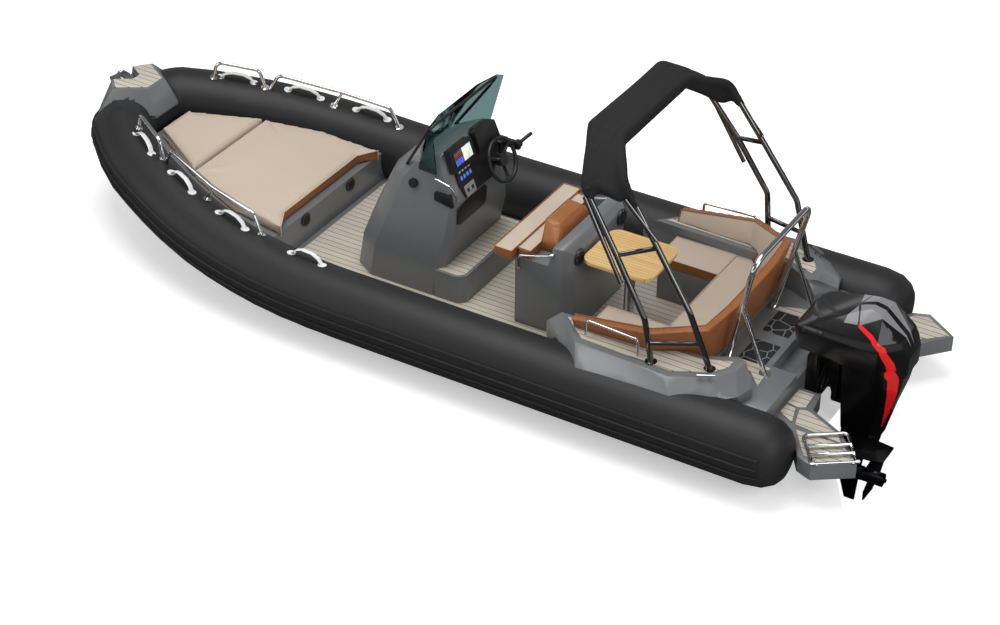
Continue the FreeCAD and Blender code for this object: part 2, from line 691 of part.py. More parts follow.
screen_low = sole_top + console_tall * SCREEN_LOW_SHARE
screen = Part.makeLoft([
    screen_wire(SCREEN_FOOT_SHARES, screen_low, s.console_out),
    screen_wire(SCREEN_TOP_SHARES, s.screen_high, s.screen_out)], True, True)
rail_top_x = s.console_aft + console_long * RAIL_TOP_SHARES[0]
rail_top_y = s.console_out * RAIL_TOP_SHARES[1]
rail_foot = V(s.console_aft + console_long * RAIL_FOOT_SHARES[0], s.console_out * RAIL_FOOT_SHARES[1],
              sole_top + console_tall * RAIL_FOOT_SHARES[2])
screen_rail_z = s.screen_high + s.rail_round * 0.6
top_rail = bent_tube([
    tuple(rail_foot), (rail_top_x, rail_top_y, screen_rail_z), (rail_top_x, -rail_top_y, screen_rail_z),
    (rail_foot.x, -rail_foot.y, rail_foot.z)], s.rail_round * 0.8, s.rail_bend).cut(console)
top_rail = max(top_rail.Solids, key=lambda solid: solid.Volume)
screen = screen.cut(console).cut(top_rail).cut(dash)
screen = max(screen.Solids, key=lambda solid: solid.Volume)
keep("windscreen", screen)
keep("windscreen_rail", top_rail)

# Steering wheel on its raked shaft
wheel_centre = V(-s.wheel_aft, -s.wheel_out, s.wheel_high)
rake = math.radians(s.wheel_rake)
wheel_way = V(-math.sin(rake), 0, math.cos(rake))
hub_deep = s.wheel_rim * 2


def make_wheel():
    rim = Part.makeTorus(s.wheel_round, s.wheel_rim, wheel_centre, wheel_way)
    shapes = []
    side = V(0, 1, 0)
    up = wheel_way.cross(side)
    for angle in (90, 210, 330):
        turn = math.radians(angle)
        way = side * math.cos(turn) + up * math.sin(turn)
        shapes.append(rod(wheel_centre - wheel_way * s.wheel_rim, wheel_centre + way * s.wheel_round, s.wheel_rim * 0.8))
    hub = rod(wheel_centre - wheel_way * hub_deep, wheel_centre + wheel_way * s.wheel_rim, s.wheel_rim * 3)
    return rim.fuse(shapes + [hub])


keep("steering_wheel", make_wheel())

# Helm boss: stands on the dash and ends just short of the wheel's hub
to_dash = (wheel_centre - dash_foot).dot(dash_normal)
boss_deep = to_dash / wheel_way.dot(dash_normal)
boss = rod(wheel_centre - wheel_way * (hub_deep + s.touch), wheel_centre - wheel_way * boss_deep, s.wheel_rim * 2)
keep("dash_panel", dash.fuse(boss).cut(console))

# Engine control: a box on the starboard shoulder of the console, a hub and a grip that points outboard
LEVER_BOX_SHARES = [(0.04, 0.760), (0.13, 0.760), (0.13, 0.845), (0.04, 0.845)]
LEVER_ARM_SHARES = [(-0.085, 0.790), (0.08, 0.790), (0.08, 0.840), (-0.075, 0.840)]
LEVER_IN_SHARE, LEVER_ARM_IN_SHARE, LEVER_OUT_SHARE, LEVER_TIP_SHARE = 0.70, 0.85, 0.93, 1.24


def lever_block(shares, inner, outer):
    plan = [(s.console_aft + console_long * a, sole_top + console_tall * b) for a, b in shares]
    return side_prism(plan, -s.console_out * outer, -s.console_out * inner)


lever_hub = V(s.console_aft - console_long * 0.055, 0, sole_top + console_tall * 0.816)
hub_in = V(lever_hub.x, -s.console_out * LEVER_ARM_IN_SHARE, lever_hub.z)
hub_out = V(lever_hub.x, -s.console_out * (LEVER_OUT_SHARE + 0.03), lever_hub.z)
grip_end = V(lever_hub.x - s.rail_bend / 2, -s.console_out * LEVER_TIP_SHARE, lever_hub.z + s.rail_bend / 2)
lever = lever_block(LEVER_BOX_SHARES, LEVER_IN_SHARE, LEVER_OUT_SHARE)
lever = lever.fuse([lever_block(LEVER_ARM_SHARES, LEVER_ARM_IN_SHARE, LEVER_OUT_SHARE),
                    rod(hub_in, hub_out, s.foot_round), rod(hub_out, grip_end, s.rail_round)])
lever = lever.cut(console)
keep("control_lever", max(lever.Solids, key=lambda solid: solid.Volume))

# Fittings on the console: a round vent, a pocket and a hatch
side_lean = V(0, math.cos(0.22), math.sin(0.22))
VENT_SHARES = (0.394, 0.752)
VENT_OUT_SHARE = 0.745
vent_foot = V(s.console_aft + console_long * VENT_SHARES[0], s.console_out * VENT_OUT_SHARE,
              sole_top + console_tall * VENT_SHARES[1])
vent = rod(vent_foot, vent_foot + side_lean * s.foot_round, s.foot_round * 1.1)
POCKET_SHARES = [(0.03, 0.665), (0.19, 0.690), (0.19, 0.745), (0.06, 0.745)]
pocket = side_prism([(s.console_aft + console_long * a, sole_top + console_tall * b) for a, b in POCKET_SHARES],
                    s.console_out * 0.70, s.console_out * 0.835)
HATCH_SHARES = [(0.76, -0.46), (0.76, -0.12), (0.66, -0.06), (-0.06, -0.06), (-0.13, -0.12), (-0.13, -0.46),
                (-0.06, -0.53), (0.66, -0.53)]
face_low = V(s.console_aft + console_long * CONSOLE_SHARES[2][1], 0, sole_top + console_tall * CONSOLE_SHARES[2][0])
face_way = (dash_foot - face_low).normalize()
face_normal = V(-face_way.z, 0, face_way.x)
hatch_wire = polygon([tuple(dash_foot + V(0, s.console_out * a, 0) + face_way * (dash_long * b)) for a, b in HATCH_SHARES])
hatch = Part.Face(hatch_wire).extrude(face_normal * s.foot_thick)
vent = vent.cut(console)
pocket = pocket.cut(console)
hatch = hatch.cut(console)
keep("console_fittings", Part.makeCompound([max(p.Solids, key=lambda q: q.Volume) for p in (vent, pocket, hatch)]))

# Helm seat: side outline as heights in shares of the ridge over the sole and places in shares of its depth
SEAT_SHARES = [
    (0.00, 0.000), (0.00, 0.735), (-0.24, 0.752), (-0.24, 0.780), (0.60, 0.780), (0.68, 1.000), (0.89, 1.000),
    (1.00, 0.930), (1.00, 0.000),
]
SEAT_CORNER_SHARE = 0.16
seat_long = s.seat_aft - s.seat_fore
seat_tall = s.ridge_high - sole_top
seat_plan = [(-s.seat_fore - seat_long * a, sole_top + seat_tall * b) for a, b in SEAT_SHARES]
seat_base = side_prism(seat_plan, -s.seat_out, s.seat_out)
seat_cut = s.seat_out * SEAT_CORNER_SHARE
corner_cut = prism([
    (-s.seat_aft + seat_cut, s.seat_out * 2), (-s.seat_aft + seat_cut, s.seat_out), (-s.seat_aft, s.seat_out - seat_cut),
    (-s.seat_aft - seat_cut, s.seat_out - seat_cut), (-s.seat_aft - seat_cut, s.seat_out * 2)], 0, s.ridge_high * 2)
seat_base = seat_base.cut(corner_cut).cut(mirrored(corner_cut))
keep("helm_seat_base", seat_base)
seat_top_z = sole_top + seat_tall * SEAT_SHARES[4][1]


def block(x0, x1, half, low, high):
    return prism([(x0, -half), (x0, half), (x1, half), (x1, -half)], low, high)


BACK_FOOT_SHARES = (0.29, 0.58, 0.63)
BACK_TOP_SHARES = (0.22, 0.47, 0.37)
STRIP_SHARES = (0.62, 0.78)


def back_wire(shares, z):
    x0, x1 = -s.seat_fore - seat_long * shares[0], -s.seat_fore - seat_long * shares[1]
    half = s.seat_out * shares[2]
    return polygon([(x0, -half, z), (x0, half, z), (x1, half, z), (x1, -half, z)])


back_low = seat_top_z + s.touch
back_block = Part.makeLoft([back_wire(BACK_FOOT_SHARES, back_low),
                            back_wire(BACK_FOOT_SHARES, s.seat_pad_high),
                            back_wire(BACK_TOP_SHARES, s.ridge_high + s.foot_thick * 3)], True, True)
keep("helm_backrest", back_block.cut(seat_base))
bolster_pad = block(-s.bolster_fore, -s.bolster_aft, s.seat_pad_out, seat_top_z, s.seat_pad_high)
strip_fore = -s.bolster_aft - s.pad_gap * 1.5
strip_pad = block(strip_fore, -s.seat_fore - seat_long * BACK_FOOT_SHARES[0] + s.touch * 2, s.seat_out, seat_top_z,
                  s.seat_pad_high)
keep("helm_cushion", Part.makeCompound([bolster_pad, strip_pad]))

# Speakers on the aft face of the helm seat and on the aft face of the bow locker
SPEAKER_OUT_SHARE, SPEAKER_UP_SHARE = 0.78, 0.87
LOCKER_SPEAKER_SHARES = (0.295, 0.175)
speaker_round = s.foot_round * 2
seat_speaker = V(-s.seat_aft, s.seat_out * 0.72, sole_top + seat_tall * SPEAKER_UP_SHARE)
locker_speaker = V(s.locker_aft, s.tube_out * LOCKER_SPEAKER_SHARES[0], sole_top + s.tube_out * LOCKER_SPEAKER_SHARES[1])
seat_disc = rod(seat_speaker, seat_speaker - V(s.foot_thick * 2, 0, 0), speaker_round)
locker_disc = rod(locker_speaker + V(s.foot_thick * 3, 0, 0), locker_speaker - V(s.foot_thick * 1.5, 0, 0),
                  speaker_round * 0.85).cut(locker)
locker_disc = min(locker_disc.Solids, key=lambda solid: solid.CenterOfMass.x)
keep("speakers", Part.makeCompound([seat_disc, mirrored(seat_disc), locker_disc, mirrored(locker_disc)]))

# Table and its leg
table_x = -s.table_fore - s.table_long / 2
table = Part.makeBox(s.table_long, s.table_wide, s.table_thick,
                     V(-s.table_fore - s.table_long, s.table_side - s.table_wide / 2, s.table_high - s.table_thick))
table = rounded(table, s.table_corner, upright)
keep("table_top", table)
leg_low = V(table_x, s.table_side, sole_top)
leg_high = V(table_x, s.table_side, s.table_high - s.table_thick)
leg = rod(leg_low, leg_high, s.leg_round)
leg = leg.fuse([rod(leg_low, leg_low + V(0, 0, s.foot_thick * 2), s.leg_round * 3),
                rod(leg_high - V(0, 0, s.foot_thick * 2), leg_high, s.leg_round * 2.6)])
keep("table_leg", leg)

# Side decks: plan outlines as shares of the transom distance and the tube spacing
SIDE_TOP_SHARES = [
    (0.415, 0.690), (0.505, 0.948), (0.771, 0.980), (0.873, 0.825), (0.902, 0.695), (0.905, 0.570),
    (0.880, 0.545), (0.800, 0.660),
]
SIDE_FOOT_SHARES = [
    (0.375, 0.705), (0.542, 1.113), (0.796, 1.093), (0.880, 0.980), (0.931, 0.824), (0.945, 0.686),
    (0.905, 0.520), (0.800, 0.640),
]
SIDE_TEAK_SHARES = [
    (0.440, 0.725), (0.515, 0.900), (0.765, 0.925), (0.855, 0.795), (0.880, 0.690), (0.880, 0.620),
    (0.800, 0.700),
]


def side_wire(shares, z):
    return polygon([(-s.transom_aft * a, s.tube_out * b, z) for a, b in shares])


side = Part.makeLoft([
    side_wire(SIDE_FOOT_SHARES, sole_top), side_wire(SIDE_FOOT_SHARES, s.side_high - s.side_deep),
    side_wire(SIDE_TOP_SHARES, s.side_high)], True, True).cut(tube).cut(hull)
side = max(side.Solids, key=lambda solid: solid.Volume)
keep("side_decks", both(side))
side_teak = prism([(-s.transom_aft * a, s.tube_out * b) for a, b in SIDE_TEAK_SHARES],
                  s.side_high, s.side_high + s.teak_thick)
teak_sides = side_teak.fuse(mirrored(side_teak))

# Aft bench: a U-shaped base open to the front
bench_fore, bench_aft = -s.bench_fore, -s.deck_fore
inner_out = s.tube_out * 0.37
bench_inner = bench_aft + s.bench_deep
bench_half = s.bench_out - s.back_thick
bench = prism(
    [(bench_fore, bench_half), (bench_aft, bench_half), (bench_aft, -bench_half), (bench_fore, -bench_half),
     (bench_fore, -inner_out), (bench_inner, -inner_out), (bench_inner, inner_out), (bench_fore, inner_out)],
    sole_top, s.bench_high)
bench = bench.cut(tube).cut(mirrored(tube)).cut(side).cut(mirrored(side)).cut(hull)
bench = max(bench.Solids, key=lambda solid: solid.Volume)
keep("aft_bench", bench)

# Backrest: one U-shaped wall that leans outwards and rises to its aft corners
BACK_FOOT_PLAN_SHARES = [(0.470, 0.730), (0.690, 0.730), (0.795, 0.560), (0.803, 0.300)]
back_edge = s.back_thick


def back_loop(lean, z_front, z_rise):
    """Outer and inner plan line of the wall at one level, and the height of each point."""
    outer = []
    top_share = [0.0, 0.75, 1.0, 1.0]
    for (a, b), up in zip(BACK_FOOT_PLAN_SHARES, top_share):
        x = -s.transom_aft * a
        y = s.tube_out * b
        back = lean * (0.0 if a < 0.70 else 0.45 if a < 0.80 else 0.6)
        side_way = lean * (1.0 if a < 0.70 else 0.8 if a < 0.80 else 0.0)
        outer.append((x - back, y + side_way, z_front + z_rise * up))
    inner = [(outer[0][0], outer[0][1] - back_edge, outer[0][2]),
             (outer[1][0] + back_edge * 0.25, outer[1][1] - back_edge, outer[1][2]),
             (outer[2][0] + back_edge * 0.75, outer[2][1] - back_edge * 0.75, outer[2][2]),
             (outer[3][0] + back_edge, outer[3][1], outer[3][2])]
    return outer, inner


def back_face(lean, z_front, z_rise):
    outer, inner = back_loop(lean, z_front, z_rise)
    loop = outer + [(x, -y, z) for x, y, z in reversed(outer)]
    loop += [(x, -y, z) for x, y, z in inner] + [(x, y, z) for x, y, z in reversed(inner)]
    return loop


def back_bands():
    """The wall as four-sided bands, each a solid between two neighbouring posts."""
    low_outer, low_inner = back_loop(0, s.bench_high + s.touch, 0)
    high_outer, high_inner = back_loop(s.back_lean, s.bench_high + s.pad_thick + s.back_up, s.back_rise)
    posts = [[V(*p) for p in row] for row in zip(low_outer, low_inner, high_inner, high_outer)]
    star = [[V(p.x, -p.y, p.z) for p in post] for post in reversed(posts)]
    wires = [Part.makePolygon(post + [post[0]]) for post in posts + star]
    return Part.makeLoft(wires, True, True)


bench_back = back_bands().cut(side).cut(mirrored(side))
bench_back = max(bench_back.Solids, key=lambda solid: solid.Volume)
keep("bench_backs", bench_back)
pad_out = s.tube_out * BACK_FOOT_PLAN_SHARES[0][1] - back_edge - s.pad_gap
seat_top = s.bench_high + s.pad_thick
port_pad = prism(
    [(bench_fore, pad_out), (bench_inner + s.pad_gap, pad_out), (bench_inner + s.pad_gap, inner_out),
     (bench_fore, inner_out)], s.bench_high, seat_top)
aft_x = -s.transom_aft * BACK_FOOT_PLAN_SHARES[3][0] + back_edge + s.pad_gap
aft_pad = prism(
    [(bench_inner, pad_out - s.pad_gap), (at(bench_inner, aft_x, 0.35), pad_out - s.pad_gap),
     (aft_x, s.tube_out * BACK_FOOT_PLAN_SHARES[2][1] - back_edge * 1.6),
     (aft_x, -s.tube_out * BACK_FOOT_PLAN_SHARES[2][1] + back_edge * 1.6),
     (at(bench_inner, aft_x, 0.35), s.pad_gap - pad_out), (bench_inner, s.pad_gap - pad_out)],
    s.bench_high, seat_top)
pads = [port_pad, mirrored(port_pad), aft_pad]
pads = [pad.cut(bench_back).cut(side).cut(mirrored(side)) for pad in pads]
keep("bench_pads", Part.makeCompound([max(p.Solids, key=lambda q: q.Volume) for p in pads]))

# Arch of four bent tubes with cross rungs
def arch_points(rows, top_share):
    x, y = -s.transom_aft * top_share, s.tube_out * ARCH_TOP_SHARES[2]
    star = [(a, -b, c) for a, b, c in reversed(rows)]
    return rows + [(x, y, s.arch_high), (x, -y, s.arch_high)] + star


fore_x = [-s.transom_aft * share for share in (0.707, 0.690, 0.600, 0.495)]
aft_leg_x = [-s.transom_aft * share for share in (0.843, 0.790, 0.690, 0.585)]
fore_y = [s.tube_out * share for share in (0.894, 0.925, 0.889, 0.830)]
aft_y = [s.tube_out * share for share in (0.770, 0.818, 0.790, 0.760)]
ARCH_UP_SHARES = (0.0, 0.275, 0.570, 0.870)
ARCH_LIFT_SHARES = (-0.02, 0.04)
ARCH_TOP_SHARES = (0.44, 0.52, 0.48)
arch_unit = s.arch_high - s.side_high


def leg_rows(xs, ys, lift):
    return [(x, y, s.side_high + arch_unit * (up + lift if k else 0)) for k, (x, y, up) in
            enumerate(zip(xs, ys, ARCH_UP_SHARES))]


fore_rows = leg_rows(fore_x, fore_y, ARCH_LIFT_SHARES[0])
aft_rows = leg_rows(aft_leg_x, aft_y, ARCH_LIFT_SHARES[1])
fore_arch = bent_tube(arch_points(fore_rows, ARCH_TOP_SHARES[0]), s.arch_round, s.arch_bend)
aft_arch = bent_tube(arch_points(aft_rows, ARCH_TOP_SHARES[1]), s.arch_round, s.arch_bend)
rungs = []
RUNG_SHARE = 0.45
low_rung = [V(*rows[0]) + (V(*rows[1]) - V(*rows[0])) * RUNG_SHARE for rows in (fore_rows, aft_rows)]
high_rung = [V(*fore_rows[2]), V(*aft_rows[2])]
for a, b in (low_rung, high_rung):
    rungs.append(rod(a, b, s.arch_round * 0.8))
    rungs.append(rod(V(a.x, -a.y, a.z), V(b.x, -b.y, b.z), s.arch_round * 0.8))
feet = []
for rows in (fore_rows, aft_rows):
    x, y, z = rows[0]
    for sign in (1, -1):
        feet.append(Part.makeCylinder(s.arch_round * 2, s.foot_thick, V(x, y * sign, z), V(0, 0, 1)))
arch = fore_arch.fuse([aft_arch] + rungs + feet).cut(side).cut(mirrored(side))
keep("arch_frame", arch)

# Canopy boot: the folded cloth around the top of the arch
# Places of its ends and bends as shares of transom distance, tube spacing and arch height
BOOT_SHARES = [(0.536, 0.800, -0.172, 1.10), (0.510, 0.650, -0.084, 1.00), (0.478, 0.475, 0.0, 1.00)]
BOOT_EDGE_SHARES = [(1.00, -0.30), (0.93, 0.55), (0.60, 1.00), (-0.60, 1.00), (-0.93, 0.55), (-1.00, -0.30),
                    (-0.70, -1.00), (0.70, -1.00)]
BOOT_TILT_SHARE = 0.22


def boot_wire(x, y, z, wide, way_y, way_z):
    up = V(0, way_y, way_z).normalize()
    half_wide = s.boot_wide / 2 * wide
    half_thick = s.boot_thick / 2
    rows = []
    for a, b in BOOT_EDGE_SHARES:
        rows.append(V(x, y, z) + V(half_wide * a, 0, half_wide * a * BOOT_TILT_SHARE) + up * (half_thick * b))
    return Part.makePolygon(rows + [rows[0]])


def make_boot():
    ways = [(0.66, 0.75), (0.60, 0.80), (0.32, 0.95)]
    rings = []
    for (a, b, c, wide), (way_y, way_z) in zip(BOOT_SHARES, ways):
        rings.append((-s.transom_aft * a, s.tube_out * b, s.arch_high + arch_unit * c, wide, way_y, way_z))
    wires = [boot_wire(*row) for row in rings]
    wires += [boot_wire(x, -y, z, wide, -way_y, way_z) for x, y, z, wide, way_y, way_z in reversed(rings)]
    return Part.makeLoft(wires, True, True)


boot = make_boot().cut(arch)
boot = max(boot.Solids, key=lambda solid: solid.Volume)
keep("canopy_boot", boot)

# Folded arms of the canopy
ARM_TOP_SHARES = [(0.505, 0.870, 0.810), (0.600, 0.800, 0.830)]
ARM_END_SHARES = [(0.619, 0.910, 0.408), (0.685, 0.785, 0.645)]
arm_top, arm_foot = [[V(-s.transom_aft * a, s.tube_out * b, s.side_high + arch_unit * c) for a, b, c in rows]
                     for rows in (ARM_TOP_SHARES, ARM_END_SHARES)]
arms = [rod(a, b, s.arch_round * 0.75) for a, b in zip(arm_top, arm_foot)]
arms = [arm.cut(arch).cut(boot) for arm in arms]
arms = [max(arm.Solids, key=lambda solid: solid.Volume) for arm in arms]
keep("canopy_arms", Part.makeCompound(arms + [mirrored(arm) for arm in arms]))

# Tow hoop on the well deck
HOOP_FOOT_SHARE, HOOP_RAKE_SHARE = 0.36, 0.18
hoop_foot_y = s.tube_out * HOOP_FOOT_SHARE
hoop_foot_x = -s.deck_fore - s.foot_round * 1.5
hoop_top_x = hoop_foot_x - s.tube_out * HOOP_RAKE_SHARE
hoop = bent_tube(
    [(hoop_foot_x, hoop_foot_y, s.deck_high), (hoop_top_x, s.hoop_out, s.hoop_high),
     (hoop_top_x, -s.hoop_out, s.hoop_high), (hoop_foot_x, -hoop_foot_y, s.deck_high)],
    s.arch_round, s.arch_bend)
STAY_UP_SHARE = 0.55
STAY_FOOT_SHARES = (0.93, 0.40)
stay_high = V(at(hoop_foot_x, hoop_top_x, STAY_UP_SHARE), at(hoop_foot_y, s.hoop_out, STAY_UP_SHARE),
              at(s.deck_high, s.hoop_high, STAY_UP_SHARE))
stay_low = V(-s.transom_aft * STAY_FOOT_SHARES[0], s.tube_out * STAY_FOOT_SHARES[1], s.deck_high)
stays = [rod(stay_low, stay_high, s.arch_round * 0.8)]
stays.append(mirrored(stays[0]))
plates = [Part.makeCylinder(s.arch_round * 2, s.foot_thick, V(p.x, p.y * sign, s.deck_high), V(0, 0, 1))
          for p in (stay_low, V(hoop_foot_x, hoop_foot_y, 0)) for sign in (1, -1)]
keep("tow_hoop", hoop.fuse(stays + plates).cut(hull))

# Non-skid pads on the deck ahead of the engine well
PAD_PLACE_SHARES = (0.842, 0.915, 0.060, 0.325)
pad_fore, pad_back = [-s.transom_aft * share for share in PAD_PLACE_SHARES[:2]]
pad_in, pad_side = [s.tube_out * share for share in PAD_PLACE_SHARES[2:]]
well_pad = prism([(pad_fore, pad_in), (pad_back, pad_in), (pad_back, pad_side), (pad_fore, pad_side)],
                 s.deck_high, s.deck_high + s.teak_thick / 2)
keep("well_pads", both(well_pad))

# Stern platforms beside the engine
PLATFORM_SHARES = [
    (1.000, 0.265), (1.063, 0.265), (1.072, 0.450), (1.172, 0.590), (1.250, 0.830), (1.160, 1.005),
    (1.118, 0.960), (1.060, 0.720), (1.000, 0.640),
]
platform_plan = [(-s.transom_aft * a, s.tube_out * b) for a, b in PLATFORM_SHARES]
platform = prism(platform_plan, s.platform_high - s.platform_thick, s.platform_high).cut(tube)
platform = max(platform.Solids, key=lambda solid: solid.Volume)
keep("platforms", both(platform))
PLATFORM_TEAK_SHARES = [
    [(1.008, 0.300), (1.050, 0.300), (1.054, 0.455), (1.038, 0.480), (1.008, 0.470)],
    [(1.062, 0.478), (1.168, 0.620), (1.185, 0.694), (1.060, 0.660), (1.045, 0.505)],
    [(1.008, 0.490), (1.034, 0.500), (1.050, 0.650), (1.008, 0.590)],
]
for shares in PLATFORM_TEAK_SHARES:
    strip = prism([(-s.transom_aft * a, s.tube_out * b) for a, b in shares],
                  s.platform_high, s.platform_high + s.teak_thick)
    teak += [strip, mirrored(strip)]
WELL_TEAK_SHARES = [(0.816, 0.355), (0.900, 0.440), (0.938, 0.560), (0.932, 0.330), (0.920, 0.330), (0.816, 0.330)]
well_strip = prism([(-s.transom_aft * a, s.tube_out * b) for a, b in WELL_TEAK_SHARES],
                   s.deck_high, s.deck_high + s.teak_thick)
well_strip = well_strip.cut(side).cut(hoop.fuse(stays + plates))
well_strip = max(well_strip.Solids, key=lambda solid: solid.Volume)
teak += [well_strip, mirrored(well_strip)]

# Cleats on the side decks and grab rails beside the seats
CLEAT_SHARES = [(0.868, 0.860), (0.838, 0.905)]


def make_cleat():
    a, b = [V(-s.transom_aft * u, s.tube_out * v, s.side_high + s.foot_round * 0.9) for u, v in CLEAT_SHARES]
    way = (b - a).normalize()
    middle = (a + b) / 2
    horn = rod(a - way * s.rail_round, b + way * s.rail_round, s.rail_round * 0.6)
    posts = []
    for sign in (-1, 1):
        foot = middle + way * (s.foot_round * 0.9 * sign)
        posts.append(rod(V(foot.x, foot.y, s.side_high - s.foot_round), foot, s.rail_round * 0.45))
    return horn.fuse(posts).cut(side)


cleat = max(make_cleat().Solids, key=lambda solid: solid.Volume)
teak_sides = teak_sides.cut(cleat).cut(mirrored(cleat))
keep("deck_fittings", Part.makeCompound([bow_roller, cleat, mirrored(cleat)]))

rail_slim = s.rail_round * 0.7
CONSOLE_RAIL_SHARES = [(0.20, 0.70, 0.842), (0.19, 0.83, 0.850), (0.045, 0.83, 0.820), (-0.015, 0.76, 0.713),
                       (0.06, 0.66, 0.695)]
console_rail = bent_tube(
    [(s.console_aft + console_long * a, s.console_out * b, sole_top + console_tall * c)
     for a, b, c in CONSOLE_RAIL_SHARES], rail_slim, s.rail_bend / 2).cut(console).cut(pocket)
SEAT_RAIL_SHARES = [(0.11, 0.94, 0.66), (0.11, 1.06, 0.66), (0.09, 1.06, 0.815), (0.44, 1.06, 0.872),
                    (0.70, 1.06, 0.925), (0.70, 0.94, 0.925)]
seat_rail = bent_tube(
    [(-s.seat_fore - seat_long * a, s.seat_out * b, sole_top + seat_tall * c) for a, b, c in SEAT_RAIL_SHARES],
    rail_slim, s.rail_bend / 2).cut(seat_base)
BENCH_RAIL_SHARES = [(0.520, 0.870, 0.0), (0.520, 0.870, 0.14), (0.670, 0.895, 0.14), (0.670, 0.895, 0.0)]
bench_rail = bent_tube(
    [(-s.transom_aft * a, s.tube_out * b, s.side_high + s.tube_out * c) for a, b, c in BENCH_RAIL_SHARES],
    rail_slim, s.rail_bend / 2).cut(side)
rails = [max(r.Solids, key=lambda q: q.Volume) for r in (console_rail, seat_rail, bench_rail)]
keep("grab_rails", Part.makeCompound(rails + [mirrored(r) for r in rails[1:]]))
for rail_piece in (rails[2], mirrored(rails[2])):
    teak_sides = teak_sides.cut(rail_piece)
teak += [solid for solid in teak_sides.cut(arch).cut(bench_back).Solids if solid.Volume > s.foot_round ** 3]
keep("teak_panels", Part.makeCompound(teak))

# Boarding ladder folded on the port platform, hinged on a pin along the outer edge
edge_a = V(platform_plan[4][0], platform_plan[4][1], 0)
edge_b = V(platform_plan[5][0], platform_plan[5][1], 0)
ladder_side = (edge_b - edge_a).normalize()
ladder_out = V(-ladder_side.y, ladder_side.x, 0)
hinge_z = s.platform_high + s.teak_thick + s.ladder_round * 1.5
hinge_mid = (edge_a + edge_b) * 0.5 + ladder_out * s.ladder_round * 1.2 + V(0, 0, hinge_z)
ladder_half = s.ladder_wide / 2


def make_ladder():
    aft, fore = hinge_mid, hinge_mid - ladder_out * s.ladder_long
    frame = bent_tube(
        [tuple(aft + ladder_side * ladder_half), tuple(fore + ladder_side * ladder_half),
         tuple(fore - ladder_side * ladder_half), tuple(aft - ladder_side * ladder_half)],
        s.ladder_round, s.ladder_round * 3)
    pieces = []
    for share in (0.3, 0.6):
        centre = hinge_mid - ladder_out * s.ladder_long * share
        pieces.append(rod(centre - ladder_side * ladder_half, centre + ladder_side * ladder_half, s.ladder_round * 1.1))
    for sign in (1, -1):
        middle = aft + ladder_side * ladder_half * sign
        pieces.append(rod(middle - ladder_side * s.ladder_round, middle + ladder_side * s.ladder_round, s.ladder_round * 1.3))
    bore = rod(aft - ladder_side * s.ladder_wide, aft + ladder_side * s.ladder_wide, s.pin_round * 0.7 + play)
    return frame.fuse(pieces).cut(bore)


keep("boarding_ladder", make_ladder())


def make_hinge():
    """Pin and its two lugs on the platform's outer edge, between the ladder's rails."""
    pin = rod(hinge_mid - ladder_side * (ladder_half + s.ladder_round * 1.2),
              hinge_mid + ladder_side * (ladder_half + s.ladder_round * 1.2), s.pin_round * 0.7)
    lugs = []
    for sign in (1, -1):
        middle = hinge_mid + ladder_side * (ladder_half - s.ladder_round * 2.2) * sign
        root = middle - ladder_out * s.ladder_round * 1.2
        low = V(0, 0, s.ladder_round * 3)
        corners = [middle + ladder_out * s.ladder_round, middle - ladder_out * s.ladder_round * 3,
                   middle - ladder_out * s.ladder_round * 3 - V(0, 0, hinge_z - s.platform_high),
                   root - V(0, 0, hinge_z - s.platform_high), root - low, middle + ladder_out * s.ladder_round * 0.5 - low / 2]
        shift = ladder_side * s.ladder_round / 2
        face = Part.Face(Part.makePolygon([c - shift for c in corners] + [corners[0] - shift]))
        lugs.append(face.extrude(shift * 2))
    return pin.fuse(lugs)


keep("ladder_hinge", make_hinge().cut(platform))

# Engine: clamp bracket on the transom, with the tilt tube and the cylinder's foot pin
tilt_x = -s.tilt_aft
transom_x = -s.transom_aft
foot_pin = V(tilt_x - s.foot_aft, 0, s.tilt_high - s.foot_low)
eye_pin = V(tilt_x - s.eye_aft, 0, s.tilt_high - s.eye_low)
lip = s.tilt_round * 1.5


def cross_rod(centre, half, radius):
    return rod(V(centre.x, -half, centre.z), V(centre.x, half, centre.z), radius)


def make_bracket():
    top = s.tilt_high + s.tilt_round * 1.2
    outline = [
        (transom_x, s.tilt_high - s.rail_bend), (transom_x, s.bracket_low), (foot_pin.x - lip, s.bracket_low),
        (foot_pin.x - lip, foot_pin.z + lip), (tilt_x - lip, s.tilt_high - s.rail_bend),
        (tilt_x - lip, s.tilt_high - lip / 2), (tilt_x - lip / 2, top), (tilt_x + lip / 2, top), (tilt_x + lip, s.tilt_high)]
    cheek = side_prism(outline, s.bracket_out - s.bracket_thick, s.bracket_out)
    shaft = cross_rod(V(tilt_x, 0, s.tilt_high), s.bracket_out, s.tilt_round)
    pin = cross_rod(foot_pin, s.bracket_out, s.pin_round)
    return cheek.fuse([mirrored(cheek), shaft, pin])


keep("clamp_bracket", make_bracket())

# Swivel bracket: turns on the tilt tube and carries the steering tube between two side webs
swivel_out = s.bracket_out - s.bracket_thick - s.foot_thick
post_round = s.tilt_round * 2.4
post_low = s.bracket_low + s.rail_bend
post_high = s.tilt_high - s.rail_bend * 0.6
web_out = post_round * 1.8
web_thick = post_round * 0.7
steer_x = -s.steer_aft


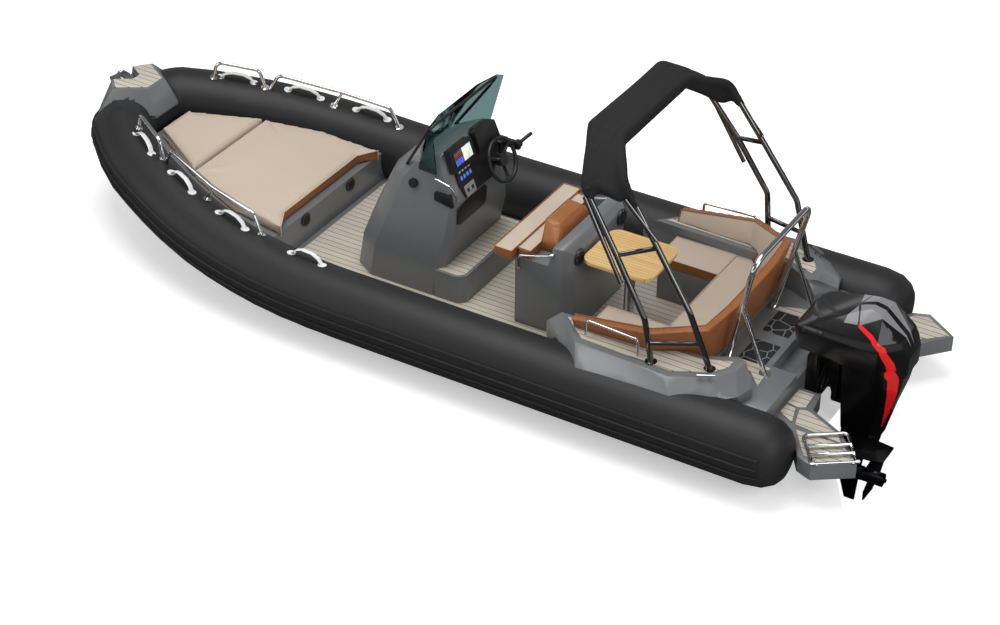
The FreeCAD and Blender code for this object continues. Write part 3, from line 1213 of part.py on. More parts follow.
def make_swivel():
    sleeve = cross_rod(V(tilt_x, 0, s.tilt_high), swivel_out, s.tilt_round * 2)
    web = side_prism(
        [(tilt_x, s.tilt_high + s.tilt_round * 1.6), (steer_x, post_high), (steer_x, post_low),
         (tilt_x - s.rail_bend, s.tilt_high - s.rail_bend * 3), (tilt_x, s.tilt_high - s.tilt_round * 1.6)],
        web_out - web_thick, web_out)
    post = rod(V(steer_x, 0, post_low), V(steer_x, 0, post_high), post_round)
    plate = Part.makeBox(post_round, web_out * 2, post_high - post_low, V(steer_x - post_round / 2, -web_out, post_low))
    body = sleeve.fuse([web, mirrored(web), post, plate])
    bore = cross_rod(V(tilt_x, 0, s.tilt_high), s.bracket_out, s.tilt_round + play)
    steer = rod(V(steer_x, 0, 0), V(steer_x, 0, s.tilt_high * 2), s.tilt_round + play)
    return body.cut(bore).cut(steer)


keep("swivel_bracket", make_swivel())

# Tilt cylinder: a barrel on the foot pin and a rod whose eye lies between the webs
cylinder_way = (eye_pin - foot_pin).normalize()
cylinder_long = (eye_pin - foot_pin).Length
barrel_start = foot_pin + cylinder_way * (s.pin_round * 2)
barrel_end = eye_pin - cylinder_way * (s.barrel_round * 1.5)
barrel = rod(barrel_start, barrel_end, s.barrel_round)
barrel = barrel.fuse(cross_rod(foot_pin, s.barrel_round, s.pin_round * 2.4))
barrel = barrel.cut(cross_rod(foot_pin, s.bracket_out, s.pin_round + play))
rod_round = s.barrel_round * 0.45
barrel = barrel.cut(rod(barrel_start + cylinder_way * s.pin_round, eye_pin, rod_round + play))
keep("tilt_barrel", barrel)
piston = rod(barrel_start + cylinder_way * s.pin_round * 3, eye_pin, rod_round)
piston = piston.fuse(cross_rod(eye_pin, s.barrel_round * 0.8, s.pin_round * 2))
piston = piston.cut(cross_rod(eye_pin, s.bracket_out, s.pin_round))
keep("tilt_rod", piston)

# Leg: column behind the steering tube, anti ventilation plate, gearcase and skeg
leg_fore = steer_x - web_out - s.foot_thick / 2
arm_low = post_low - s.foot_thick
arm_thick = s.rail_bend / 2
arm_high = post_high + s.foot_thick
COLUMN_SHARES = (0.22, 0.10)


def leg_wire(z, fore, aft, half):
    x0, x1 = fore, steer_x - aft
    third = x0 - (x0 - x1) * 0.3
    return polygon([(x0, half * 0.5, z), (third, half, z), (x1, half * 0.3, z),
                    (x1, -half * 0.3, z), (third, -half, z), (x0, -half * 0.5, z)])


def make_leg():
    column_half = s.cowl_wide * COLUMN_SHARES[1]
    column = Part.makeBox(s.cowl_long * COLUMN_SHARES[0], column_half * 2, arm_high + arm_thick + s.plate_low,
                          V(leg_fore - s.cowl_long * COLUMN_SHARES[0], -column_half, -s.plate_low))
    mid = Part.makeLoft([
        leg_wire(s.chaps_low, leg_fore, s.cowl_long * 0.42, s.cowl_wide * 0.20),
        leg_wire(-s.plate_low, leg_fore - s.rail_bend / 2, s.cowl_long * 0.38, s.cowl_wide * 0.14)], True, True)
    plate_fore = s.cowl_long * 0.10
    plate = prism([
        (steer_x - plate_fore, s.cowl_wide * 0.12), (steer_x - s.cowl_long * 0.25, s.cowl_wide * 0.25),
        (steer_x - s.cowl_long * 0.50, s.cowl_wide * 0.20), (steer_x - s.cowl_long * 0.50, -s.cowl_wide * 0.20),
        (steer_x - s.cowl_long * 0.25, -s.cowl_wide * 0.25), (steer_x - plate_fore, -s.cowl_wide * 0.12)],
        -s.plate_low - s.foot_thick, -s.plate_low + s.foot_thick)
    strut = Part.makeLoft([
        leg_wire(-s.plate_low, leg_fore - s.rail_bend / 2, s.cowl_long * 0.30, s.cowl_wide * 0.12),
        leg_wire(-s.shaft_low, leg_fore - s.rail_bend, s.cowl_long * 0.27, s.cowl_wide * 0.09)], True, True)
    nose_x = steer_x + s.rail_bend * 0.8
    cone_x = nose_x - s.hub_round * 2
    hub_end = -s.prop_aft + s.prop_round * 0.45
    torpedo = rod(V(cone_x, 0, -s.shaft_low), V(hub_end, 0, -s.shaft_low), s.hub_round)
    nose = Part.makeCone(s.hub_round, s.hub_round * 0.25, s.hub_round * 2, V(cone_x, 0, -s.shaft_low), V(1, 0, 0))
    skeg = side_prism(
        [(steer_x - s.rail_bend, -s.shaft_low), (steer_x - s.cowl_long * 0.16, -s.skeg_low),
         (steer_x - s.cowl_long * 0.25, -s.skeg_low), (steer_x - s.cowl_long * 0.27, -s.shaft_low)],
        -s.foot_thick, s.foot_thick)
    shaft = rod(V(hub_end + s.hub_round, 0, -s.shaft_low),
                V(-s.prop_aft - s.prop_round * 0.5, 0, -s.shaft_low), s.tilt_round)
    pivot = rod(V(steer_x, 0, arm_low - arm_thick), V(steer_x, 0, arm_high + arm_thick), s.tilt_round)
    arms = []
    for low in (arm_low - arm_thick, arm_high):
        arms.append(Part.makeBox(web_out + s.rail_bend, s.rail_bend * 1.2, arm_thick,
                                 V(leg_fore - s.rail_bend / 2, -s.rail_bend * 0.6, low)))
    return mid.fuse([column, plate, strut, torpedo, nose, skeg, shaft, pivot] + arms)


leg = make_leg()
keep("engine_leg", leg)

# Cowl: the hood is its side outline and its plan sections in one; the chaps wrap the midsection below it
CHAPS_SHARES = [
    (0.00, 0.090, 0.440, 0.44), (0.38, 0.078, 0.510, 0.62), (0.70, 0.078, 0.580, 0.82), (1.00, 0.078, 0.620, 0.96),
]
HOOD_PLAN_SHARES = [
    (-0.40, -0.340, 0.640, 0.94), (0.00, -0.345, 0.645, 0.98), (0.40, -0.345, 0.645, 1.02),
    (0.56, -0.330, 0.620, 0.94), (1.00, -0.060, 0.480, 0.34),
]
HOOD_SIDE_SHARES = [
    (-0.235, 0.00), (-0.315, 0.14), (-0.350, 0.32), (-0.310, 0.42), (0.170, 0.94), (0.250, 1.00), (0.340, 0.96),
    (0.540, 0.56), (0.625, 0.20), (0.630, -0.02), (0.600, -0.20), (0.300, -0.20), (0.035, -0.02),
]
COWL_EDGE_SHARES = [(0.00, 0.66), (0.08, 1.00), (0.76, 1.00), (0.97, 0.40)]


def cowl_wire(low, high, row):
    up, fore, aft, wide = row
    z = at(low, high, up)
    x0 = steer_x - s.cowl_long * fore
    x1 = steer_x - s.cowl_long * aft
    half = s.cowl_wide * wide / 2
    side_rows = [(at(x0, x1, along), half * out) for along, out in COWL_EDGE_SHARES]
    return polygon([(x, y, z) for x, y in side_rows] + [(x, -y, z) for x, y in reversed(side_rows)])


chaps = Part.makeLoft([cowl_wire(s.chaps_low, s.cowl_low + s.foot_thick, row) for row in CHAPS_SHARES], True, True)
hood = Part.makeLoft([cowl_wire(s.cowl_low, s.cowl_high, row) for row in HOOD_PLAN_SHARES], True, True)
hood_side = [(steer_x - s.cowl_long * a, at(s.cowl_low, s.cowl_high, b)) for a, b in HOOD_SIDE_SHARES]
hood = hood.common(side_prism(hood_side, -s.cowl_wide, s.cowl_wide))
cowl = hood.fuse(chaps).cut(leg)
keep("engine_cowl", max(cowl.Solids, key=lambda solid: solid.Volume))

# Propeller: three pitched blades on a hub
def make_prop():
    centre = V(-s.prop_aft, 0, -s.shaft_low)
    hub_long = s.prop_round * 0.8
    hub = rod(centre + V(hub_long / 2, 0, 0), centre - V(hub_long / 2, 0, 0), s.hub_round * 0.95)
    blades = []
    for k in range(3):
        rings = []
        for share, pitch, chord in ((0.15, 58, 0.45), (0.6, 38, 0.75), (0.97, 26, 0.45)):
            z = s.prop_round * share
            half = s.prop_round * chord / 2
            thick = s.foot_thick * (1.1 - share * 0.6)
            turn = math.radians(pitch)
            along = V(math.sin(turn), math.cos(turn), 0)
            flat = V(math.cos(turn), -math.sin(turn), 0)
            c = V(0, 0, z)
            rings.append(Part.makePolygon([c + along * half, c + flat * thick, c - along * half, c - flat * thick, c + along * half]))
        blade = Part.makeLoft(rings, True, True)
        blade.rotate(V(0, 0, 0), V(1, 0, 0), 120 * k)
        blade.translate(centre)
        blades.append(blade)
    bore = rod(centre + V(hub_long, 0, 0), centre - V(hub_long, 0, 0), s.tilt_round + play)
    return hub.fuse(blades).cut(bore)


keep("propeller", make_prop())

doc.recompute()
for node in parts:
    state = [str(flag) for flag in node.State]
    if "Invalid" in state or "Error" in state:
        raise RuntimeError("failed: " + node.Label)
    if node.Shape.isNull() or not node.Shape.isValid():
        raise RuntimeError("shape not valid: " + node.Label)

os.makedirs("parts", exist_ok=True)
for node in parts:
    node.Shape.exportStep("parts/" + node.Label + ".step")
    print(node.Label, len(node.Shape.Solids), round(node.Shape.Volume / 1e6, 3))
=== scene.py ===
# %% [markdown]
# # An open rigid inflatable boat, dressed for a studio picture
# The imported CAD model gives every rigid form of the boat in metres: +X runs to the bow, +Y to port and
# +Z up, with the waterline at zero. This script never moves those parts. It rounds the edges that a mould
# or a saw would have rounded, sews the cushions, stretches the canvas and gives each surface its finish.

# %% Load the frame
import bpy
import bmesh
import json
import math
from types import SimpleNamespace
from mathutils import Matrix, Vector, noise
from mathutils.bvhtree import BVHTree

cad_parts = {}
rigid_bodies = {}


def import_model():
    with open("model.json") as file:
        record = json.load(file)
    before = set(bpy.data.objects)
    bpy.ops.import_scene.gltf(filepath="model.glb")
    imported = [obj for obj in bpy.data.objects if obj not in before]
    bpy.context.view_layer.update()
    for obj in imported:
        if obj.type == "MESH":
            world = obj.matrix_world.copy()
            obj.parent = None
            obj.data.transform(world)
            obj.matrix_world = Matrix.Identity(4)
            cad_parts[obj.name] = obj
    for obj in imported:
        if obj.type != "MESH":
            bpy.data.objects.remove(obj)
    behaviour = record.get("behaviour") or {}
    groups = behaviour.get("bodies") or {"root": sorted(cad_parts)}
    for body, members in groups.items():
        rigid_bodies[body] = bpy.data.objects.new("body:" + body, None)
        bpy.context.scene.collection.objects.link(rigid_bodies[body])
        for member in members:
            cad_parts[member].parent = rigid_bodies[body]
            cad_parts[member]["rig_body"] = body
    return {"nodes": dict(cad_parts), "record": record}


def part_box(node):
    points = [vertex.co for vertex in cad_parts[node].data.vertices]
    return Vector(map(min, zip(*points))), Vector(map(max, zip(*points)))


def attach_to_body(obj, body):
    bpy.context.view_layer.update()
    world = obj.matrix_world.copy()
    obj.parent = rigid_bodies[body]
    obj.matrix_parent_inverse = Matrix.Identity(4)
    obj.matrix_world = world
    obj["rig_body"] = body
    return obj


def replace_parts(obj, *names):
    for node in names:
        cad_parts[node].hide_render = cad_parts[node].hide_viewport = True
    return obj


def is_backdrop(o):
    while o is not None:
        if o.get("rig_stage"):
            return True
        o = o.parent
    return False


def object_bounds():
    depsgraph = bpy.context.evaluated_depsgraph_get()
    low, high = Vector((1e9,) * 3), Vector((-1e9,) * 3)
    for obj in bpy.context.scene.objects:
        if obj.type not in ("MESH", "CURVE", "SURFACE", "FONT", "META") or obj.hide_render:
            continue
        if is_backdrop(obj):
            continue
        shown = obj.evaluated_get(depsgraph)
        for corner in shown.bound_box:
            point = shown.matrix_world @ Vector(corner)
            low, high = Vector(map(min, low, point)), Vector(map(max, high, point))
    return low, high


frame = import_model()
nodes = frame["nodes"]
slots = {part["node"]: part["material_slot"] for part in frame["record"]["subparts"]}
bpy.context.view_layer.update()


# %% [markdown]
# ## The camera
# A long lens looks down over the port quarter. The heading and pitch were worked out from pairs of points
# that mirror each other across the boat, so the same numbers place the lens here. A target constraint would
# be shorter to write, but a plain matrix also holds the small roll of the picture.

# %% Camera
HEADING = math.radians(-59.43)
PITCH = math.radians(34.15)
ROLL = math.radians(0.42)
LENS_PLACE = (-7.478, 12.271, 9.584)
FOCAL_PX = 2307.8
IMAGE_PX = 1000
SENSOR_MM = 36.0
FARTHEST = 200


def placed(name, data):
    """A new object that shows the data, linked into the scene."""
    thing = bpy.data.objects.new(name, data)
    bpy.context.collection.objects.link(thing)
    return thing


look = Vector((math.cos(PITCH) * math.cos(HEADING), math.cos(PITCH) * math.sin(HEADING), -math.sin(PITCH)))
right = look.cross(Vector((0, 0, 1))).normalized()
up = right.cross(look)
right, up = (math.cos(ROLL) * right + math.sin(ROLL) * up, math.cos(ROLL) * up - math.sin(ROLL) * right)

lens = bpy.data.cameras.new("studio_lens")
lens.sensor_width = SENSOR_MM
lens.lens = FOCAL_PX / IMAGE_PX * SENSOR_MM
lens.clip_end = FARTHEST
camera = placed("camera", lens)
pose = Matrix((right, up, -look)).transposed().to_4x4()
pose.translation = LENS_PLACE
camera.matrix_world = pose
bpy.context.scene.camera = camera
print("lens", round(lens.lens, 2), "mm")


# %% [markdown]
# ## Writing node trees in few lines
# Every finish below is a small network of nodes. They could be wired one link at a time, but most steps are
# alike: make a node, give it numbers or feed it from another node, and take its result. These helpers do
# that. Those that make a node give back the node, or the socket that the next step needs.

# %% Node helpers
MIX_SOCKETS = {"RGBA": (6, 7, 2), "FLOAT": (2, 3, 0)}


def feed(tree, value, target):
    """Links a socket to the target, or sets a plain value on it."""
    if isinstance(value, bpy.types.NodeSocket):
        tree.links.new(value, target)
    else:
        target.default_value = value


def add(tree, kind, **settings):
    """A node with its settings; a key that starts with i_ sets an input by name."""
    node = tree.nodes.new(kind)
    for key, value in settings.items():
        if key.startswith("i_"):
            node.inputs[key[2:].replace("_", " ")].default_value = value
        else:
            setattr(node, key, value)
    return node


def math_node(tree, operation, *values):
    """The result of a sum whose terms are numbers or sockets."""
    node = add(tree, "ShaderNodeMath", operation=operation)
    for place, value in enumerate(values):
        feed(tree, value, node.inputs[place])
    return node.outputs[0]


def mix_node(tree, share, first, second, kind="RGBA"):
    """The first value turning into the second as share goes from 0 to 1."""
    node = add(tree, "ShaderNodeMix", data_type=kind)
    low, high, result = MIX_SOCKETS[kind]
    feed(tree, share, node.inputs[0])
    feed(tree, first, node.inputs[low])
    feed(tree, second, node.inputs[high])
    return node.outputs[result]


def new_material(name):
    material = bpy.data.materials.new(name)
    material.use_nodes = True
    tree = material.node_tree
    return material, tree, tree.nodes["Principled BSDF"]


print("node helpers ready")


# %% [markdown]
# ## A white floor at the waterline
# The boat is shown afloat on nothing: a pale floor lies at the waterline and the keel reaches below it. A
# whole sheet would also hide the gearcase and propeller, which the picture shows, so the floor is cut open
# where the lens looks down at them, and a white basin below hides the keel from there. The floor is white by
# its colour and by a little light of its own toward the lens, and it still takes the shadow. Polished metal
# sees it darker than it is, as it would see the dim edges of a studio.

# %% Studio floor
REACH = 60.0
BASIN = [(-2.93, -0.16), (-3.44, -0.26), (-3.62, -0.10), (-3.97, 0.55), (-3.93, 0.98), (-3.62, 1.06),
         (-3.44, 0.99), (-3.25, 0.66), (-3.06, 0.36), (-2.93, 0.10)]
FLOOR_COLOUR = (0.9, 0.9, 0.9, 1)
FLOOR_MIRRORED = (0.10, 0.10, 0.10, 1)
FLOOR_GLOW = 0.42


def stage_piece(name, form, paint):
    """A piece of the room from a bmesh."""
    mesh = bpy.data.meshes.new(name)
    form.to_mesh(mesh)
    form.free()
    mesh.materials.append(paint)
    placed(name, mesh)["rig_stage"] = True


def straight_on(tree):
    """1 for rays from the lens, also through glass, and the Light Path node that tells them."""
    path = add(tree, "ShaderNodeLightPath")
    return math_node(tree, "MAXIMUM", path.outputs["Is Camera Ray"], path.outputs["Is Transmission Ray"]), path


floor_paint, tree, shader = new_material("studio_floor")
shader.inputs["Roughness"].default_value = 0.9
shader.inputs["Specular IOR Level"].default_value = 0.1
shader.inputs["Emission Color"].default_value = (1, 1, 1, 1)
seen, path = straight_on(tree)
feed(tree, math_node(tree, "MULTIPLY", seen, FLOOR_GLOW), shader.inputs["Emission Strength"])
feed(tree, mix_node(tree, path.outputs["Is Glossy Ray"], FLOOR_COLOUR, FLOOR_MIRRORED), shader.inputs["Base Color"])

sheet = bmesh.new()
rims = []
for corners in ([(-REACH, -REACH), (REACH, -REACH), (REACH, REACH), (-REACH, REACH)], BASIN):
    ring = [sheet.verts.new((x, y, 0.0)) for x, y in corners]
    rims += [sheet.edges.new(pair) for pair in zip(ring, ring[1:] + ring[:1])]
bmesh.ops.triangle_fill(sheet, use_beauty=True, use_dissolve=False, edges=rims, normal=(0, 0, 1))
bmesh.ops.recalc_face_normals(sheet, faces=sheet.faces)
for face in sheet.faces:
    if face.normal.z < 0:
        face.normal_flip()
print("floor faces", len(sheet.faces))
stage_piece("studio_floor", sheet, floor_paint)

# %% White basin
BASIN_DEEP = 1.0

basin_paint, tree, shader = new_material("basin_white")
shader.inputs["Base Color"].default_value = (0, 0, 0, 1)
shader.inputs["Specular IOR Level"].default_value = 0.0
shader.inputs["Emission Color"].default_value = (1, 1, 1, 1)
feed(tree, add(tree, "ShaderNodeLightPath").outputs["Is Camera Ray"], shader.inputs["Emission Strength"])
bowl = bmesh.new()
rim = [bowl.verts.new((x, y, 0.0)) for x, y in BASIN]
base = [bowl.verts.new((x, y, -BASIN_DEEP)) for x, y in BASIN]
for here in range(len(BASIN)):
    after = (here + 1) % len(BASIN)
    bowl.faces.new((rim[here], rim[after], base[after], base[here]))
bowl.faces.new(base)
bmesh.ops.recalc_face_normals(bowl, faces=bowl.faces)
stage_piece("white_basin", bowl, basin_paint)
print("basin", BASIN_DEEP, "m deep")


# %% [markdown]
# ## Lamps and the room's light
# Three square lamps stand for softboxes: one over the boat, and weaker ones off the stern and the bow. The
# rest is the world. One even colour would light the boat well but leave the rails grey and the black hood
# milky, so mirror-like surfaces see a room with bright and dark bands instead, and the lens sees plain white.

# %% Softboxes
LAMPS = {
    # name: (place, point it looks at, side in metres, watts)
    "overhead_box": ((0.5, 0.5, 9.0), (0, 0, 0), 7.0, 620),
    "stern_box": ((-8.0, 3.0, 5.0), (-1, 0, 0.6), 4.0, 170),
    "bow_box": ((7.0, 6.0, 4.5), (1, 0, 0.5), 4.0, 130),
}
for name, (place, aim, side, watts) in LAMPS.items():
    lamp = bpy.data.lights.new(name, "AREA")
    lamp.shape = "SQUARE"
    lamp.size = side
    lamp.energy = watts
    turn = (Vector(aim) - Vector(place)).to_track_quat("-Z", "Y").to_matrix().to_4x4()
    placed(name, lamp).matrix_world = Matrix.Translation(place) @ turn
print("lamps", len(LAMPS))

# %% World
ROOM_LIGHT = 0.42
BANDS = ((0.0, 0.05), (0.06, 0.9), (0.16, 0.85), (0.26, 0.12), (0.80, 0.14), (1.0, 1.0))

world = bpy.data.worlds.new("studio")
bpy.context.scene.world = world
world.use_nodes = True
tree = world.node_tree
back = tree.nodes["Background"]
back.inputs["Color"].default_value = (1, 1, 1, 1)
seen, path = straight_on(tree)
level = add(tree, "ShaderNodeMapRange", i_To_Min=ROOM_LIGHT, i_To_Max=1.0)
feed(tree, seen, level.inputs["Value"])
rise = add(tree, "ShaderNodeSeparateXYZ")
feed(tree, add(tree, "ShaderNodeTexCoord").outputs["Generated"], rise.inputs[0])
bands = add(tree, "ShaderNodeValToRGB")
stops = bands.color_ramp.elements
for place, bright in BANDS:
    if place in (0.0, 1.0):
        stop = next(entry for entry in stops if entry.position == place)
    else:
        stop = stops.new(place)
    stop.color = (bright, bright, bright, 1)
feed(tree, rise.outputs[2], bands.inputs[0])
feed(tree, mix_node(tree, path.outputs["Is Glossy Ray"], level.outputs[0], bands.outputs[0], "FLOAT"),
     back.inputs["Strength"])
bpy.context.scene.view_settings.view_transform = "Standard"
print("bands", [(round(entry.position, 2), round(entry.color[0], 2)) for entry in stops])


# %% [markdown]
# ## Shared effects
# Three effects come back on many surfaces: a slow drift of tone that keeps large mouldings from looking
# painted by a computer, a fine surface texture, and planks with dark caulking. They could be wired again in
# each material. As node groups they are built once, and a material only says how strong and large they are.

# %% Drift of tone
def group(name, inputs, outputs):
    """A shader group; inputs are (label, kind, value) and outputs (label, kind)."""
    made = bpy.data.node_groups.new(name, "ShaderNodeTree")
    for label, kind, value in inputs:
        made.interface.new_socket(name=label, in_out="INPUT", socket_type=kind).default_value = value
    for label, kind in outputs:
        made.interface.new_socket(name=label, in_out="OUTPUT", socket_type=kind)
    return made, made.nodes.new("NodeGroupInput").outputs, made.nodes.new("NodeGroupOutput").inputs


def object_point(tree):
    """The place of the shaded point on its own piece."""
    return add(tree, "ShaderNodeTexCoord").outputs["Object"]


drift, start, end = group("tone_drift", [("Color", "NodeSocketColor", (0.5, 0.5, 0.5, 1)),
                                         ("Size", "NodeSocketFloat", 1.0), ("Amount", "NodeSocketFloat", 0.05)],
                          [("Color", "NodeSocketColor"), ("Mask", "NodeSocketFloat")])
cloud = add(drift, "ShaderNodeTexNoise", i_Detail=4.0, i_Roughness=0.55)
feed(drift, object_point(drift), cloud.inputs["Vector"])
feed(drift, start["Size"], cloud.inputs["Scale"])
swing = math_node(drift, "SUBTRACT", cloud.outputs["Fac"], 0.5)
swing = math_node(drift, "MULTIPLY", swing, start["Amount"])
swing = math_node(drift, "MULTIPLY_ADD", swing, 2.0, 1.0)
scale = add(drift, "ShaderNodeVectorMath", operation="SCALE")
feed(drift, start["Color"], scale.inputs[0])
feed(drift, swing, scale.inputs["Scale"])
feed(drift, scale.outputs[0], end["Color"])
feed(drift, cloud.outputs["Fac"], end["Mask"])
print(drift.name, len(drift.nodes), "nodes")

# %% Fine grain
grain, start, end = group("fine_grain", [("Size", "NodeSocketFloat", 400.0),
                                         ("Softness", "NodeSocketFloat", 0.5)], [("Height", "NodeSocketFloat")])
point = object_point(grain)
speck = add(grain, "ShaderNodeTexNoise", i_Detail=2.0)
cells = add(grain, "ShaderNodeTexVoronoi", feature="F1")
for texture in (speck, cells):
    feed(grain, point, texture.inputs["Vector"])
    feed(grain, start["Size"], texture.inputs["Scale"])
feed(grain, mix_node(grain, start["Softness"], cells.outputs["Distance"], speck.outputs["Fac"], "FLOAT"),
     end["Height"])
print(grain.name, len(grain.nodes), "nodes")

# %% Planks with caulking
FIBRE_STRETCH = (3.0, 110.0, 110.0)
planks, start, end = group("caulked_planks", [("Pitch", "NodeSocketFloat", 0.055),
                                              ("Seam", "NodeSocketFloat", 0.0035),
                                              ("Light", "NodeSocketColor", (0.6, 0.55, 0.46, 1)),
                                              ("Dark", "NodeSocketColor", (0.45, 0.40, 0.33, 1)),
                                              ("Caulk", "NodeSocketColor", (0.05, 0.045, 0.04, 1))],
                           [("Color", "NodeSocketColor"), ("Height", "NodeSocketFloat")])
point = object_point(planks)
split = add(planks, "ShaderNodeSeparateXYZ")
feed(planks, point, split.inputs[0])
row = math_node(planks, "DIVIDE", split.outputs[1], start["Pitch"])
within = math_node(planks, "FRACT", row)
edge_gap = math_node(planks, "MINIMUM", within, math_node(planks, "SUBTRACT", 1.0, within))
edge_gap = math_node(planks, "MULTIPLY", edge_gap, start["Pitch"])
seam_mask = math_node(planks, "LESS_THAN", edge_gap, start["Seam"])
chance = add(planks, "ShaderNodeTexWhiteNoise", noise_dimensions="1D")
feed(planks, math_node(planks, "FLOOR", row), chance.inputs["W"])
stretch = add(planks, "ShaderNodeMapping", i_Scale=FIBRE_STRETCH)
feed(planks, point, stretch.inputs["Vector"])
fibre = add(planks, "ShaderNodeTexNoise", i_Scale=1.0, i_Detail=3.0)
feed(planks, stretch.outputs[0], fibre.inputs["Vector"])
tone = math_node(planks, "ADD", math_node(planks, "MULTIPLY", fibre.outputs["Fac"], 0.6),
                 math_node(planks, "MULTIPLY", chance.outputs["Value"], 0.45))
wood = mix_node(planks, tone, start["Dark"], start["Light"])
feed(planks, mix_node(planks, seam_mask, wood, start["Caulk"]), end["Color"])
feed(planks, math_node(planks, "SUBTRACT", math_node(planks, "MULTIPLY", fibre.outputs["Fac"], 0.2), seam_mask),
     end["Height"])
print(planks.name, len(planks.nodes), "nodes")


# %% [markdown]
# ## Kinds of finish
# Nearly every surface is one of two kinds: an even coat with drift and grain, or boards. The tread, the
# display and, further on, the hood have patterns of their own. The tread by the engine is black foam cut into
# rough stones, which a Voronoi texture draws as cells with gaps. The display is lit, with a chart, a list and
# a sounder. Pictures could be wrapped on them, but patterns made from object coordinates stay sharp at any
# distance and need no unwrapping.

# %% Even coats and boards
BOARD_RELIEF = 0.0008


def set_sockets(shader, values):
    """Sets the shader's sockets by their names, with _ for a space."""
    for key, value in values.items():
        shader.inputs[key.replace("_", " ")].default_value = value


def bumped(tree, shader, height, **settings):
    """Feeds the shader's normal from a height."""
    bump = add(tree, "ShaderNodeBump", **settings)
    feed(tree, height, bump.inputs["Height"])
    feed(tree, bump.outputs["Normal"], shader.inputs["Normal"])


def finish_with(name, color, rough, drift_amount=0.05, drift_size=1.2, grain_size=0.0, grain_depth=0.0,
                grain_soft=0.5, **more):
    """An even coat from the shared groups; more holds the shader's other sockets by name."""
    material, tree, shader = new_material(name)
    tone = add(tree, "ShaderNodeGroup", node_tree=drift)
    tone.inputs["Color"].default_value = (*color, 1)
    tone.inputs["Amount"].default_value = drift_amount
    tone.inputs["Size"].default_value = drift_size
    feed(tree, tone.outputs["Color"], shader.inputs["Base Color"])
    if grain_depth:
        skin = add(tree, "ShaderNodeGroup", node_tree=grain)
        skin.inputs["Size"].default_value = grain_size
        skin.inputs["Softness"].default_value = grain_soft
        bumped(tree, shader, skin.outputs["Height"], i_Strength=1.0, i_Distance=grain_depth)
    set_sockets(shader, dict(more, Roughness=rough))
    return material


def planked(name, pitch, seam, light, dark, caulk, rough, **more):
    """A boarded finish; the boards run along the boat."""
    material, tree, shader = new_material(name)
    boards = add(tree, "ShaderNodeGroup", node_tree=planks)
    for label, value in (("Pitch", pitch), ("Seam", seam), ("Light", (*light, 1)), ("Dark", (*dark, 1)),
                         ("Caulk", (*caulk, 1))):
        boards.inputs[label].default_value = value
    feed(tree, boards.outputs["Color"], shader.inputs["Base Color"])
    bumped(tree, shader, boards.outputs["Height"], i_Strength=0.6, i_Distance=BOARD_RELIEF)
    set_sockets(shader, dict(more, Roughness=rough))
    return material


print("coats use", drift.name, "and", grain.name, "- boards use", planks.name)

# %% Tread of cut foam
STONES_A_METRE = 9.0
STONE_CHANCE = 0.75
STONE_GAP = 0.035
FOAM_THICK = 0.002
FOAM_BLACK = (0.012, 0.012, 0.013, 1)
DECK_GREY = (0.20, 0.21, 0.22, 1)


def tread(name):
    """Black foam cut into rough stones, with the grey deck between them."""
    material, tree, shader = new_material(name)
    stones = add(tree, "ShaderNodeTexVoronoi", feature="DISTANCE_TO_EDGE", i_Scale=STONES_A_METRE,
                 i_Randomness=STONE_CHANCE)
    feed(tree, object_point(tree), stones.inputs["Vector"])
    gap = math_node(tree, "LESS_THAN", stones.outputs["Distance"], STONE_GAP)
    feed(tree, mix_node(tree, gap, FOAM_BLACK, DECK_GREY), shader.inputs["Base Color"])
    bumped(tree, shader, gap, i_Strength=0.8, i_Distance=FOAM_THICK, invert=True)
    set_sockets(shader, {"Roughness": 0.85})
    return material


print("stones about", round(1 / STONES_A_METRE, 2), "m across")

# %% Lit chart display
SCREEN_MIDDLE = (0.1685, 1.299)
SCREEN_HALF = (0.108, 0.046)
PORT_FROM = 0.172
SOUNDER_TOP = 1.292
COAST_SIZE = 26.0
LAND_FROM = 0.50
BEAT_TURNS, BEAT_FROM = 420.0, 0.2
LINE_TURNS, LINE_FROM = 500.0, 0.75
SCREEN_BLACK = (0.008, 0.008, 0.009, 1)
SEA, LAND = (0.55, 0.72, 0.86, 1), (0.90, 0.86, 0.55, 1)
LIST_BACK, LIST_LINE = (0.02, 0.015, 0.02, 1), (0.45, 0.08, 0.05, 1)
SOUNDER_BACK, SOUNDER_BEAT = (0.02, 0.05, 0.45, 1), (0.10, 0.22, 0.85, 1)


